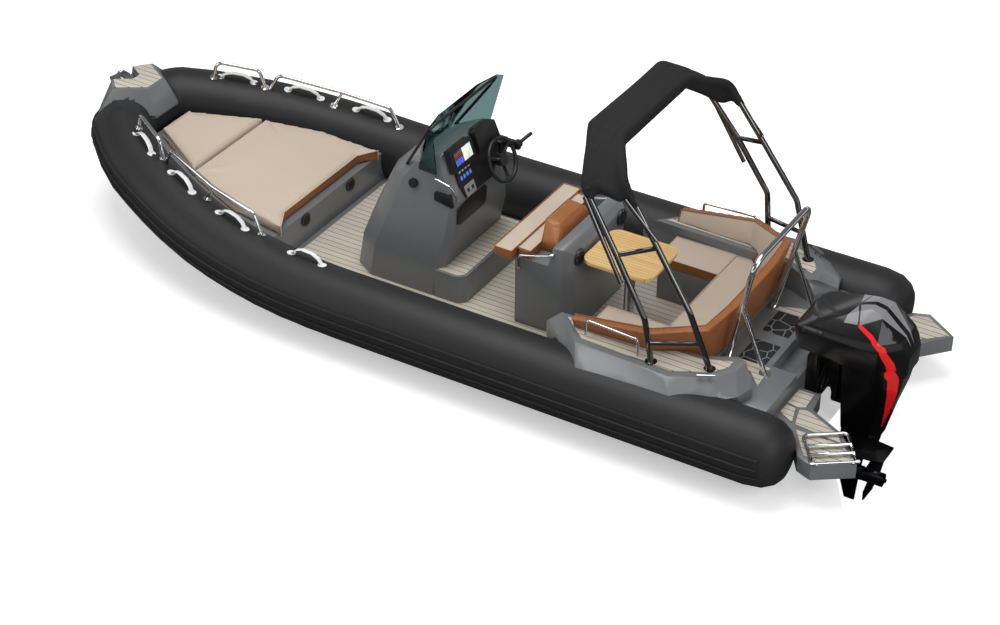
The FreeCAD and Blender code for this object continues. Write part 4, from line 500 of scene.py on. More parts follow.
def chart_picture(name):
    """A lit screen: a sea chart on its starboard half, a list and a sounder on its port half."""
    material, tree, shader = new_material(name)
    point = object_point(tree)
    split = add(tree, "ShaderNodeSeparateXYZ")
    feed(tree, point, split.inputs[0])
    across, high = split.outputs[1], split.outputs[2]
    coast = add(tree, "ShaderNodeTexNoise", i_Scale=COAST_SIZE, i_Detail=3.0)
    feed(tree, point, coast.inputs["Vector"])
    land = math_node(tree, "GREATER_THAN", coast.outputs["Fac"], LAND_FROM)
    beat = math_node(tree, "SINE", math_node(tree, "MULTIPLY", across, BEAT_TURNS))
    line = math_node(tree, "SINE", math_node(tree, "MULTIPLY", high, LINE_TURNS))
    chart = mix_node(tree, land, SEA, LAND)
    listed = mix_node(tree, math_node(tree, "GREATER_THAN", line, LINE_FROM), LIST_BACK, LIST_LINE)
    sounder = mix_node(tree, math_node(tree, "GREATER_THAN", beat, BEAT_FROM), SOUNDER_BACK, SOUNDER_BEAT)
    port = mix_node(tree, math_node(tree, "LESS_THAN", high, SOUNDER_TOP), listed, sounder)
    whole = mix_node(tree, math_node(tree, "GREATER_THAN", across, PORT_FROM), chart, port)
    inner = 1.0
    for place, middle, half in zip((across, high), SCREEN_MIDDLE, SCREEN_HALF):
        out = math_node(tree, "ABSOLUTE", math_node(tree, "SUBTRACT", place, middle))
        inner = math_node(tree, "MULTIPLY", math_node(tree, "LESS_THAN", out, half), inner)
    screen = mix_node(tree, inner, SCREEN_BLACK, whole)
    feed(tree, screen, shader.inputs["Base Color"])
    feed(tree, screen, shader.inputs["Emission Color"])
    set_sockets(shader, {"Emission_Strength": 0.45, "Roughness": 0.12})
    return material


print("lit field", [2 * half for half in SCREEN_HALF], "m")

# %% [markdown]
# ## The boat's finishes
# Each slot of the CAD record gets one finish, under the same name. The tubes are matt coated fabric, the
# mouldings grey gelcoat with a light coat over it, the seats two vinyls, and the rails polished steel. Colours
# are linear values, darker than they look on a screen. The arch's steel gets a darker colour of its own: a
# painted reflection of the dark canvas over it, which the tubes of the real one mirror.

# %% Table of finishes
finishes = {
    "tube_fabric": finish_with("coated_fabric", (0.018, 0.018, 0.019), 0.50, 0.10, 1.4, 900, 0.0004,
                               Specular_IOR_Level=0.35),
    "strake_rubber": finish_with("strake_rubber", (0.010, 0.010, 0.011), 0.5, 0.08, 3, 700, 0.0002),
    "gelcoat_grey": finish_with("gelcoat_grey", (0.150, 0.157, 0.163), 0.32, 0.04, 0.9, 55, 0.0003, 1.0,
                                Coat_Weight=0.3, Coat_Roughness=0.15),
    "deck_teak": planked("deck_teak", 0.055, 0.0032, (0.56, 0.52, 0.44), (0.44, 0.405, 0.335),
                         (0.14, 0.13, 0.11), 0.62),
    "vinyl_tan": finish_with("vinyl_tan", (0.520, 0.430, 0.345), 0.5, 0.04, 2.5, 900, 0.0003),
    "vinyl_brown": finish_with("vinyl_brown", (0.30, 0.105, 0.028), 0.42, 0.12, 5, 900, 0.0003),
    "stainless": finish_with("stainless", (0.80, 0.80, 0.81), 0.10, 0.03, 6, Metallic=1.0),
    # Darkened steel for the arch and shade arms: a painted reflection of the dark canvas over them.
    "arch_steel": finish_with("arch_steel", (0.16, 0.16, 0.165), 0.12, 0.05, 8, Metallic=1.0),
    "rod_chrome": finish_with("rod_chrome", (0.8, 0.8, 0.8), 0.06, 0.02, 6, Metallic=1.0),
    "aluminium_leg": finish_with("aluminium_leg", (0.72, 0.72, 0.73), 0.28, 0.05, 9, Metallic=1.0),
    "table_wood": planked("table_wood", 0.030, 0.0012, (0.86, 0.60, 0.27), (0.66, 0.40, 0.14),
                          (0.30, 0.15, 0.05), 0.35, Coat_Weight=0.4),
    "canvas_dark": finish_with("canvas_dark", (0.017, 0.017, 0.018), 0.85, 0.12, 2, 700, 0.0006,
                               Specular_IOR_Level=0.2),
    "handle_white": finish_with("handle_white", (0.8, 0.8, 0.8), 0.5, 0.04, 20, 500, 0.0003),
    "black_matte": finish_with("black_matte", (0.010, 0.010, 0.011), 0.42, 0.1, 6, 900, 0.0002),
    "display_glass": chart_picture("chart_picture"),
    "tinted_glass": finish_with("tinted_glass", (0.27, 0.44, 0.43), 0.03, 0.02, 1, Transmission_Weight=1.0,
                                IOR=1.15),
    "non_skid_black": tread("non_skid_black"),
    "engine_black": finish_with("engine_black", (0.006, 0.006, 0.007), 0.35, 0.1, 6, Coat_Weight=0.3),
    "propeller_steel": finish_with("propeller_steel", (0.05, 0.05, 0.055), 0.22, 0.1, 9, Metallic=0.8),
}
OWN = {"arch_frame": "arch_steel", "canopy_arms": "arch_steel"}
for name, piece in nodes.items():
    piece.data.materials.clear()
    if slots[name] in finishes:
        piece.data.materials.append(finishes[slots[name]])
print("finishes", len(finishes))


# %% [markdown]
# ## Moulded and machined pieces
# The CAD edges are knife sharp, and glass-fibre mouldings, sawn teak and cast metal never are. A Bevel
# modifier over the whole mesh would also cut into the small facets of curved outlines, so only long edges
# between faces that really turn are given a bevel weight. The copy is merged first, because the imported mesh
# is loose triangles, and round forms are shaded smooth up to an angle.

# %% Working on a copy of a node
SAME_POINT = 0.00005
NO_LENGTH = 0.00002
FLAT = math.radians(0.6)


def merged(node):
    """The node's mesh with its triangles joined and its flat faces whole."""
    made = bmesh.new()
    made.from_mesh(nodes[node].data)
    bmesh.ops.remove_doubles(made, verts=made.verts, dist=SAME_POINT)
    bmesh.ops.dissolve_degenerate(made, dist=NO_LENGTH, edges=made.edges)
    bmesh.ops.dissolve_limit(made, angle_limit=FLAT, verts=made.verts, edges=made.edges)
    bmesh.ops.recalc_face_normals(made, faces=made.faces)
    return made


sample = merged("table_top")
print("table top:", len(nodes["table_top"].data.polygons), "triangles make", len(sample.faces), "faces")
sample.free()

# %% From a form to a finished piece
def piece_from(made, name, *materials):
    """A piece with the form of a bmesh, which is used up."""
    mesh = bpy.data.meshes.new(name)
    made.to_mesh(mesh)
    made.free()
    for material in materials:
        mesh.materials.append(material)
    return placed(name, mesh)


def smooth(thing, degrees):
    """Soft shading, with a crease where faces turn by more than the angle."""
    mesh = thing.data
    mesh.polygons.foreach_set("use_smooth", [True] * len(mesh.polygons))
    mesh.set_sharp_from_angle(angle=math.radians(degrees))
    mesh.update()


def evaluated(thing):
    """The mesh that the object's modifiers or curve settings give."""
    seen_by = bpy.context.evaluated_depsgraph_get()
    return bpy.data.meshes.new_from_object(thing.evaluated_get(seen_by))


def applied(thing):
    """The piece with its modifiers worked into its mesh."""
    mesh = evaluated(thing)
    mesh.name = thing.name
    thing.modifiers.clear()
    thing.data = mesh
    return thing


def rounded(thing, width, by_weight=False):
    """The piece with its edges rounded, all sharp ones or only those with a weight."""
    bevel = thing.modifiers.new("rounding", "BEVEL")
    bevel.width = width
    bevel.segments = 2
    if by_weight:
        bevel.limit_method = "WEIGHT"
        bevel.use_clamp_overlap = True
        bevel.loop_slide = True
    return applied(thing)


def attach(thing, node):
    """Lets the piece ride on the node's body."""
    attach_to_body(thing, nodes[node]["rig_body"])
    return thing


def dress(node, name, width, shade=40.0, turn=25.0, shortest=0.025):
    """A finished copy that stands for the node, its long edges rounded to width."""
    made = merged(node)
    weight = made.edges.layers.float.new("bevel_weight_edge")
    for edge in made.edges:
        if len(edge.link_faces) == 2 and edge.calc_length() > shortest:
            if edge.calc_face_angle(0.0) > math.radians(turn):
                edge[weight] = 1.0
    thing = piece_from(made, name, finishes[OWN.get(node, slots[node])])
    if width:
        rounded(thing, width, by_weight=True)
    smooth(thing, shade)
    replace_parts(attach(thing, node), node)
    return thing


print("finishes that differ from their slot", OWN)

# %% Mouldings, castings and boards
MOULDED = {
    # node: (piece name, rounding in metres)
    "hull": ("hull_moulding", 0.006), "console": ("console_moulding", 0.012),
    "helm_seat_base": ("seat_moulding", 0.012), "aft_bench": ("bench_moulding", 0.010),
    "side_decks": ("side_deck_mouldings", 0.010), "platforms": ("platform_mouldings", 0.010),
    "bow_step": ("bow_step_moulding", 0.010), "bow_locker": ("bow_locker_moulding", 0.008),
    "dash_panel": ("dash_moulding", 0.003), "table_top": ("table_board", 0.005),
    "teak_panels": ("teak_decking", 0.0012), "well_pads": ("tread_pads", 0.002),
    "rub_strakes": ("rubbing_strakes", 0.006), "clamp_bracket": ("clamp_castings", 0.004),
    "swivel_bracket": ("swivel_casting", 0.004), "engine_leg": ("leg_casting", 0.005),
    "chart_display": ("display_case", 0.002), "speakers": ("speaker_rims", 0.002),
    "console_fittings": ("console_trim", 0.002), "control_lever": ("throttle_lever", 0.002),
    "tube_handles": ("grip_straps", 0.0015), "table_leg": ("table_pedestal", 0.0015),
}
for node, (name, width) in MOULDED.items():
    dress(node, name, width)
print("moulded pieces", len(MOULDED))

# %% Tubes, rails and blades
ROUND = {
    "tube_port": "port_tube_skin", "tube_starboard": "starboard_tube_skin", "bow_rails": "bow_handrails",
    "grab_rails": "grab_handrails", "arch_frame": "arch_tubing", "tow_hoop": "tow_hoop_tubing",
    "canopy_arms": "shade_arms", "windscreen_rail": "screen_rail", "steering_wheel": "wheel_rim",
    "boarding_ladder": "ladder_tubing", "ladder_hinge": "ladder_pivots", "deck_fittings": "deck_cleats",
    "tilt_barrel": "tilt_cylinder", "tilt_rod": "tilt_piston", "propeller": "propeller_blades",
    "windscreen": "screen_pane",
}
ROUND_SHADE = 42.0
for node, name in ROUND.items():
    dress(node, name, 0.0, ROUND_SHADE)
print("round pieces", len(ROUND))


# %% [markdown]
# ## The cushions' covers
# Each cushion is a sewn vinyl cover over foam: a tan panel that people sit on, brown walls, and an underside
# that nobody sees. The CAD node holds several cushions in one mesh, so it is parted first, and each face is
# then told which cut of vinyl it belongs to by the way it faces. Painting the faces by hand would do as well,
# but a rule still holds when a size of the boat changes. A seam runs wherever two cuts meet at a corner.

# %% Parting a node
def islands(node):
    """Each separate closed form of a node as a bmesh of its own, the sternmost first."""
    whole = merged(node)
    whole.verts.index_update()
    left = set(whole.verts)
    groups = []
    while left:
        first = min(left, key=lambda vert: vert.index)
        left.remove(first)
        found = [first]
        for vert in found:
            for edge in vert.link_edges:
                there = edge.other_vert(vert)
                if there in left:
                    left.remove(there)
                    found.append(there)
        groups.append((min(tuple(vert.co) for vert in found), {vert.index for vert in found}))
    forms = []
    for corner, indices in sorted(groups, key=lambda entry: entry[0]):
        form = whole.copy()
        form.verts.index_update()
        bmesh.ops.delete(form, geom=[vert for vert in form.verts if vert.index not in indices], context="VERTS")
        form.faces.index_update()
        form.normal_update()
        form.faces.ensure_lookup_table()
        forms.append(form)
    whole.free()
    return forms


print("cushion nodes", [node for node in slots if slots[node].startswith("vinyl")])

# %% Cuts of vinyl and their seams
TAN, BROWN, UNDER = 0, 1, 2
SEAM_TURN = math.radians(20)
NO_SEAM = 1.0
LEVEL = 0.7
HELM_FRONT = 0.6
SIDE_ARM = 0.6
BENCH_FRONT = 0.55
BENCH_UPRIGHT = 0.6
BENCH_ARM_END = -1.30
PAD_STERN_WALL = -0.5
PAD_BOW_PART = 1.6


def cover_class(node, face):
    """The cut of vinyl that a face of a cushion belongs to."""
    normal = face.normal
    middle = face.calc_center_median()
    if normal.z < -LEVEL:
        return UNDER
    if node == "helm_backrest":
        return TAN if normal.x > HELM_FRONT else BROWN
    if node == "bench_backs":
        inward = -normal.y * (1 if middle.y > 0 else -1) if abs(normal.y) > SIDE_ARM else normal.x
        upright = abs(normal.z) < BENCH_UPRIGHT
        return TAN if inward > BENCH_FRONT and upright and middle.x < BENCH_ARM_END else BROWN
    if node == "sunpads":
        return BROWN if normal.x < PAD_STERN_WALL and middle.x < PAD_BOW_PART else TAN
    return TAN if normal.z > LEVEL else BROWN


def seams_of(form, classes):
    """The edges where two cuts meet at a corner, as both ends and the pair of cuts."""
    found = []
    for edge in form.edges:
        if len(edge.link_faces) == 2:
            pair = {classes[face.index] for face in edge.link_faces}
            if edge.calc_face_angle(0.0) > SEAM_TURN and len(pair) == 2:
                found.append((edge.verts[0].co.copy(), edge.verts[1].co.copy(), pair))
    return found


def seam_gap(point, seams):
    """The distance from a point to the nearest seam."""
    if not seams:
        return NO_SEAM
    gaps = []
    for low, high, pair in seams:
        run = high - low
        share = (point - low).dot(run) / max(run.length_squared, 1e-9)
        gaps.append(((point - low) - run * max(0.0, min(1.0, share))).length)
    return min(gaps)


print("a seam where the cover turns by over", round(math.degrees(SEAM_TURN)), "degrees")


# %% [markdown]
# ## The folded shade's cover
# The canvas cover is laced round the arch's tubes at both ends. A plain box of cloth would leave the tubes
# poking out of it, so the cover is joined with slightly thickened copies of the tubes, and the whole is grown
# and shrunk again. Growing closes the gaps between them and shrinking gives back the size, which leaves one
# skin drawn tight round what it holds.

# %% Cover drawn round the tubes
LACE_ABOVE = 0.02
TUBE_SPARE = 0.010
GROW_AND_SHRINK = (0.030, -0.026)
EASE_STEPS = 4


def wrapped(form):
    """The shade's cover with the arch tubes that it is laced round, as one rough closed skin."""
    low = min(vert.co.z for vert in form.verts)
    tubes = merged("arch_frame")
    bmesh.ops.bisect_plane(tubes, geom=tubes.verts[:] + tubes.edges[:] + tubes.faces[:],
                           plane_co=(0, 0, low + LACE_ABOVE), plane_no=(0, 0, 1), clear_inner=True)
    bmesh.ops.holes_fill(tubes, edges=[edge for edge in tubes.edges if edge.is_boundary])
    tubes.normal_update()
    for vert in tubes.verts:
        vert.co += vert.normal * TUBE_SPARE
    mesh = bpy.data.meshes.new("laced_tubes")
    tubes.to_mesh(mesh)
    tubes.free()
    whole = form.copy()
    whole.from_mesh(mesh)
    return whole


def squared(thing, name, square):
    """Adds a remesh into small even squares."""
    remesh = thing.modifiers.new(name, "REMESH")
    remesh.mode = "VOXEL"
    remesh.voxel_size = square


def drawn_tight(thing, square):
    """The piece grown and shrunk again, so that gaps in it close."""
    for way in GROW_AND_SHRINK:
        squared(thing, "joint", square)
        puff = thing.modifiers.new("puff", "DISPLACE")
        puff.strength = way
        puff.mid_level = 0.0
        ease = thing.modifiers.new("ease", "SMOOTH")
        ease.factor = 0.5
        ease.iterations = EASE_STEPS
        applied(thing)


# %% [markdown]
# ## Foam under the covers
# Foam pushes a cover out evenly and the seams hold it back. The faces could be modelled bulging by hand, but
# a cloth blown up by air does the same by itself. So each form is remeshed into small squares, the squares
# near a seam and under the cushion are pinned, and the cloth is blown up for twenty frames. The table says
# how far each kind of face may swell, because foam gives way by millimetres where a balloon would by more.

# %% One cover and its foam
SEAM_SWELL = 0.001
FRAMES = 20


def add_foam(thing, pressure):
    """Cloth that air pushes out, without gravity, held where the group says."""
    cloth = thing.modifiers.new("foam", "CLOTH")
    cloth.settings.quality = 4
    cloth.settings.mass = 0.3
    cloth.settings.use_pressure = True
    cloth.settings.uniform_pressure_force = pressure
    cloth.settings.effector_weights.gravity = 0.0
    cloth.settings.vertex_group_mass = "held"
    cloth.point_cache.frame_start = 1
    cloth.point_cache.frame_end = FRAMES
    cloth.collision_settings.use_collision = False


def cover(node, name, form, square, seam, top_swell, wall_swell):
    """A cover in small squares, and what is known of each of its points."""
    laced = node == "canopy_boot"
    classes = [cover_class(node, face) for face in form.faces]
    seams = [] if laced else seams_of(form, classes)
    foam = BVHTree.FromBMesh(form)
    thing = piece_from(wrapped(form) if laced else form, name,
                       finishes["canvas_dark" if laced else "vinyl_tan"], finishes["vinyl_brown"])
    if laced:
        drawn_tight(thing, square)
    squared(thing, "squares", square)
    applied(thing)
    rest = [vert.co.copy() for vert in thing.data.vertices]
    kinds = [classes[foam.find_nearest(point)[2]] for point in rest]
    held = thing.vertex_groups.new(name="held")
    limits = []
    for index, (point, kind) in enumerate(zip(rest, kinds)):
        limit = (top_swell, wall_swell, 0.0)[kind]
        if seam_gap(point, seams) < seam:
            limit = min(limit, SEAM_SWELL)
        limits.append(limit)
        if limit <= SEAM_SWELL:
            held.add([index], 1.0, "REPLACE")
    return SimpleNamespace(node=node, laced=laced, thing=thing, rest=rest, kinds=kinds, limits=limits, seams=seams)


print("pinned where the foam may swell by", SEAM_SWELL, "m or less")

# %% Blow up the covers
SOFT = {
    # node: (piece name, remesh square, seam reach, top swell, wall swell, pressure, fill)
    "sunpads": ("sun_lounge_pad", 0.013, 0.014, 0.013, 0.003, 4.0, 0.9),
    "bench_pads": ("bench_seat_pad", 0.009, 0.011, 0.012, 0.002, 4.0, 0.85),
    "helm_cushion": ("helm_seat_pad", 0.009, 0.011, 0.012, 0.002, 4.0, 0.85),
    "helm_backrest": ("helm_back_pad", 0.008, 0.009, 0.010, 0.006, 4.0, 0.85),
    "bench_backs": ("bench_back_pad", 0.011, 0.011, 0.007, 0.004, 4.0, 0.85),
    "canopy_boot": ("shade_cover", 0.012, 0.0, 0.006, 0.006, 2.0, 0.6),
}
covers = []
for node, (title, square, seam, top_swell, wall_swell, pressure, fill) in SOFT.items():
    for count, form in enumerate(islands(node)):
        made = cover(node, "%s_%d" % (title, count + 1), form, square, seam, top_swell, wall_swell)
        made.fill = fill
        covers.append(made)
        add_foam(made.thing, pressure)
for frame_number in range(1, FRAMES + 1):
    bpy.context.scene.frame_set(frame_number)
print("covers", len(covers), "points", sum(len(made.rest) for made in covers))


# %% [markdown]
# ## Sewing
# The blown cloth can bulge more than foam lets it, so each point's way is bent back smoothly under its limit
# instead of being cut off, which would leave a step. The canvas cover gets shallow folds from noise. Then the
# squares take the vinyl of their cut, and a piping cord is laid along each seam between tan and brown. The
# cord is a curve with a round section, because a swept tube follows any seam without a gap.

# %% Piping along seams
PIPING = 0.0045
PIPING_TAN = ("sunpads", "bench_pads")
CORD_SHADE = 60


def chains(pairs):
    """Seam edges joined end to end into lines of points."""
    around = {}
    for low, high, kinds in pairs:
        a, b = (tuple(round(value, 5) for value in end) for end in (low, high))
        around.setdefault(a, set()).add(b)
        around.setdefault(b, set()).add(a)
    lines = []
    while any(around.values()):
        start = next((point for point, ends in sorted(around.items()) if len(ends) == 1), None)
        start = start or next(point for point, ends in sorted(around.items()) if ends)
        line = [start]
        while around[line[-1]]:
            after = sorted(around[line[-1]])[0]
            around[line[-1]].discard(after)
            around[after].discard(line[-1])
            line.append(after)
        lines.append([Vector(point) for point in line])
    return lines


def cord_along(lines, name, radius, material):
    """A round cord laid along each line of points."""
    curve = bpy.data.curves.new(name, "CURVE")
    curve.dimensions = "3D"
    curve.bevel_depth = radius
    curve.bevel_resolution = 2
    for line in lines:
        closed = (line[0] - line[-1]).length < 1e-4
        points = line[:-1] if closed else line
        strand = curve.splines.new("POLY")
        strand.points.add(len(points) - 1)
        for knot, point in zip(strand.points, points):
            knot.co = (*point, 1)
        strand.use_cyclic_u = closed
    holder = placed(name + "_line", curve)
    mesh = evaluated(holder)
    bpy.data.objects.remove(holder)
    mesh.name = name
    mesh.materials.clear()
    mesh.materials.append(material)
    thing = placed(name, mesh)
    smooth(thing, CORD_SHADE)
    return thing


print("covers with seams", sum(1 for made in covers if made.seams))

# %% Finish each cover
COARSE = 16000
PULL_DEEP, FOLD_DEEP, DRAWN_IN = 0.0035, 0.006, 0.003


def ripple(place, x, y, z, shift=0.0):
    """Smooth noise from -1 to 1 at a point; x, y and z say how close the ripples are."""
    return noise.noise(Vector((place.x * x + shift, place.y * y, place.z * z)))


def settled(made):
    """Keeps every point of the blown cover within its limit, and folds the canvas."""
    mesh = made.thing.data
    for vert, start_at, limit in zip(mesh.vertices, made.rest, made.limits):
        move = vert.co - start_at
        if limit <= 0.0 or move.length < 1e-7:
            vert.co = start_at
        else:
            vert.co = start_at + move.normalized() * limit * math.tanh(move.length / limit)
    if made.laced:
        for vert in mesh.vertices:
            place = vert.co
            pull = ripple(place, 9.0, 3.2, 9.0)
            fold = ripple(place, 3.0, 1.4, 3.0, shift=7.0)
            vert.co = place + vert.normal * (PULL_DEEP * pull + FOLD_DEEP * fold - DRAWN_IN)


def coloured(made):
    """Gives each square the vinyl that most of its corners belong to."""
    for face in made.thing.data.polygons:
        kinds = [made.kinds[index] for index in face.vertices]
        face.material_index = 1 if not made.laced and kinds.count(TAN) * 2 < len(kinds) else 0
        face.use_smooth = True


for made in covers:
    thing = made.thing
    applied(thing)
    settled(made)
    coloured(made)
    if len(thing.data.polygons) < COARSE:
        finer = thing.modifiers.new("finer", "SUBSURF")
        finer.levels = finer.render_levels = 1
        applied(thing)
    thing.data.polygons.foreach_set("use_smooth", [True] * len(thing.data.polygons))
    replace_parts(attach(thing, made.node), made.node)
    between = [entry for entry in made.seams if entry[2] == {TAN, BROWN}]
    if between:
        vinyl = "vinyl_tan" if made.node in PIPING_TAN else "vinyl_brown"
        attach(cord_along(chains(between), thing.name + "_piping", PIPING, finishes[vinyl]), made.node)
print("soft pieces", len(covers), "faces", sum(len(made.thing.data.polygons) for made in covers))


# %% [markdown]
# ## The outboard's colours
# The hood has a red flash down each side and pale facets over its stern. Both follow the form, so they are
# masks in the hood's own paint, worked out from object coordinates. That keeps the edge crisp at any distance,
# where a thin sheet of colour laid over the hood would show its rim. The flash is the zone near a broken
# line, wide at its middle and narrow at its ends. The facets are triangles in the plan of the hood.

# %% Masks for the hood
FLASH = [(-3.108, 0.924), (-3.213, 0.885), (-3.297, 0.827), (-3.351, 0.703), (-3.380, 0.577), (-3.369, 0.423),
         (-3.336, 0.242), (-3.306, 0.100)]


def line_gap(tree, along, high, corners):
    """The distance to a broken line through corners, which lie in the plane of X and Z."""
    least = None
    for (x0, z0), (x1, z1) in zip(corners, corners[1:]):
        long = math.hypot(x1 - x0, z1 - z0)
        ux, uz = (x1 - x0) / long, (z1 - z0) / long
        dx = math_node(tree, "SUBTRACT", along, x0)
        dz = math_node(tree, "SUBTRACT", high, z0)
        run = math_node(tree, "ADD", math_node(tree, "MULTIPLY", dx, ux), math_node(tree, "MULTIPLY", dz, uz))
        held = math_node(tree, "MINIMUM", math_node(tree, "MAXIMUM", run, 0.0), long)
        fx = math_node(tree, "SUBTRACT", dx, math_node(tree, "MULTIPLY", held, ux))
        fz = math_node(tree, "SUBTRACT", dz, math_node(tree, "MULTIPLY", held, uz))
        gap = math_node(tree, "SQRT", math_node(tree, "ADD", math_node(tree, "MULTIPLY", fx, fx),
                                                math_node(tree, "MULTIPLY", fz, fz)))
        least = gap if least is None else math_node(tree, "MINIMUM", least, gap)
    return least


def facet_mask(tree, along, across, facets):
    """1 inside any of the triangles, whose corners are (along, across)."""
    found = 0.0
    for corners in facets:
        (ax, ay), (bx, by), (cx, cy) = corners
        turn = 1.0 if (bx - ax) * (cy - ay) - (by - ay) * (cx - ax) > 0 else -1.0
        inside = 1.0
        for (x0, y0), (x1, y1) in zip(corners, corners[1:] + corners[:1]):
            left = math_node(tree, "MULTIPLY", math_node(tree, "SUBTRACT", across, y0), (x1 - x0) * turn)
            right_of = math_node(tree, "MULTIPLY", math_node(tree, "SUBTRACT", along, x0), (y1 - y0) * turn)
            left = math_node(tree, "SUBTRACT", left, right_of)
            inside = math_node(tree, "MULTIPLY", math_node(tree, "GREATER_THAN", left, 0.0), inside)
        found = math_node(tree, "MAXIMUM", inside, found)
    return found


print("flash length", round(sum(math.dist(a, b) for a, b in zip(FLASH, FLASH[1:])), 3), "m")

# %% Hood paint
FLASH_MIDDLE = 0.56
FLASH_REACH = 0.46
FLASH_HALF = 0.026
FLASH_TIP = 0.003
FLASH_FROM = 0.055
FACETS = [[(-2.995, 0.180), (-3.092, 0.172), (-3.030, 0.020)], [(-3.104, 0.172), (-3.045, 0.020), (-3.430, 0.024)]]
FACETS_ABOVE = 0.74
HOOD_BLACK, SILVER, RED = (0.004, 0.004, 0.005, 1), (0.22, 0.22, 0.23, 1), (0.80, 0.010, 0.010, 1)

hood_paint, tree, shader = new_material("hood_paint")
split = add(tree, "ShaderNodeSeparateXYZ")
feed(tree, object_point(tree), split.inputs[0])
along, across, high = split.outputs
swell = math_node(tree, "DIVIDE", math_node(tree, "SUBTRACT", high, FLASH_MIDDLE), FLASH_REACH)
swell = math_node(tree, "SUBTRACT", 1.0, math_node(tree, "MULTIPLY", swell, swell))
half = math_node(tree, "MAXIMUM", math_node(tree, "MULTIPLY", swell, FLASH_HALF), FLASH_TIP)
flash = math_node(tree, "LESS_THAN", line_gap(tree, along, high, FLASH), half)
out_of_middle = math_node(tree, "ABSOLUTE", across)
flash = math_node(tree, "MULTIPLY", flash, math_node(tree, "GREATER_THAN", out_of_middle, FLASH_FROM))
pale = facet_mask(tree, along, out_of_middle, FACETS)
pale = math_node(tree, "MULTIPLY", pale, math_node(tree, "GREATER_THAN", high, FACETS_ABOVE))
feed(tree, mix_node(tree, flash, mix_node(tree, pale, HOOD_BLACK, SILVER), RED), shader.inputs["Base Color"])
set_sockets(shader, {"Roughness": 0.32, "Specular_IOR_Level": 0.25, "Coat_Weight": 0.45, "Coat_Roughness": 0.05})
finishes["engine_gloss"] = hood_paint
hood = dress("engine_cowl", "engine_hood", 0.006, shade=30.0, turn=12.0, shortest=0.03)
print("hood faces", len(hood.data.polygons))


# %% [markdown]
# ## Boards on the outer ends of the platforms
# The teak of each stern platform ends in a small slanted field of its own, with a bare grey joint before it.
# It could be cut from the decking by a Boolean, but the outline is only five corners, so it is drawn in plan,
# raised by the thickness of a board and rounded. The other side's corners are the same, mirrored in Y.

# %% End boards
END_BOARDS = [(-3.285, 0.722), (-3.405, 0.838), (-3.196, 0.978), (-3.098, 0.945), (-2.945, 0.722)]
BOARD_SUNK = 0.001
BOARD_THICK = 0.006
BOARD_ROUND = 0.0015
SMALL_SHADE = 35

top =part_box("platforms")[1][2]
for label, side_of in (("port_end_boards", 1), ("starboard_end_boards", -1)):
    made = bmesh.new()
    face = made.faces.new([made.verts.new((x, y * side_of, top - BOARD_SUNK)) for x, y in END_BOARDS])
    raised = bmesh.ops.extrude_face_region(made, geom=[face])["geom"]
    bmesh.ops.translate(made, verts=[item for item in raised if isinstance(item, bmesh.types.BMVert)],
                        vec=(0, 0, BOARD_THICK))
    bmesh.ops.recalc_face_normals(made, faces=made.faces)
    boards = rounded(piece_from(made, label, finishes["deck_teak"]), BOARD_ROUND)
    smooth(boards, SMALL_SHADE)
    attach(boards, "platforms")
    print(label, len(boards.data.polygons), "faces")


# %% [markdown]
# ## Node trees for what repeats
# The dash carries rows of rocker switches and the speakers a pierced grille with screws round the rim. Each
# repeat is one small form on many points, so a Geometry Nodes tree makes it: a grid or a circle of points,
# one instance on each, real geometry and one material at the end. Copies in a loop would work too, but one
# tree serves all sizes through its named inputs. Neither tree has any chance in it.

# %% Ring of screws
def new_tree(name, sockets):
    """A geometry tree; sockets are (label, kind, value). The last result maps labels to identifiers."""
    made = bpy.data.node_groups.new(name, "GeometryNodeTree")
    names = {}
    for label, kind, value in sockets:
        entry = made.interface.new_socket(name=label, in_out="INPUT", socket_type=kind)
        if value is not None:
            entry.default_value = value
        names[label] = entry.identifier
    made.interface.new_socket(name="Geometry", in_out="OUTPUT", socket_type="NodeSocketGeometry")
    return made, made.nodes.new("NodeGroupInput").outputs, made.nodes.new("NodeGroupOutput"), names


def joined(tree, points, form, material_socket, result):
    """Instances of form on points, made real, with the tree's material."""
    many = add(tree, "GeometryNodeInstanceOnPoints")
    real = add(tree, "GeometryNodeRealizeInstances")
    paint = add(tree, "GeometryNodeSetMaterial")
    feed(tree, points, many.inputs["Points"])
    feed(tree, form, many.inputs["Instance"])
    feed(tree, many.outputs[0], real.inputs[0])
    feed(tree, real.outputs[0], paint.inputs["Geometry"])
    feed(tree, material_socket, paint.inputs["Material"])
    feed(tree, paint.outputs[0], result.inputs[0])


studs, start, end, STUD = new_tree("ring_of_screws", [
    ("Count", "NodeSocketInt", 6), ("Radius", "NodeSocketFloat", 0.05), ("Head", "NodeSocketFloat", 0.003),
    ("Finish", "NodeSocketMaterial", None)])
ring = add(studs, "GeometryNodeMeshCircle")
feed(studs, start["Count"], ring.inputs["Vertices"])
feed(studs, start["Radius"], ring.inputs["Radius"])
head = add(studs, "GeometryNodeMeshUVSphere", i_Segments=8, i_Rings=6)
feed(studs, start["Head"], head.inputs["Radius"])
joined(studs, ring.outputs[0], head.outputs[0], start["Finish"], end)
print(studs.name, list(STUD))

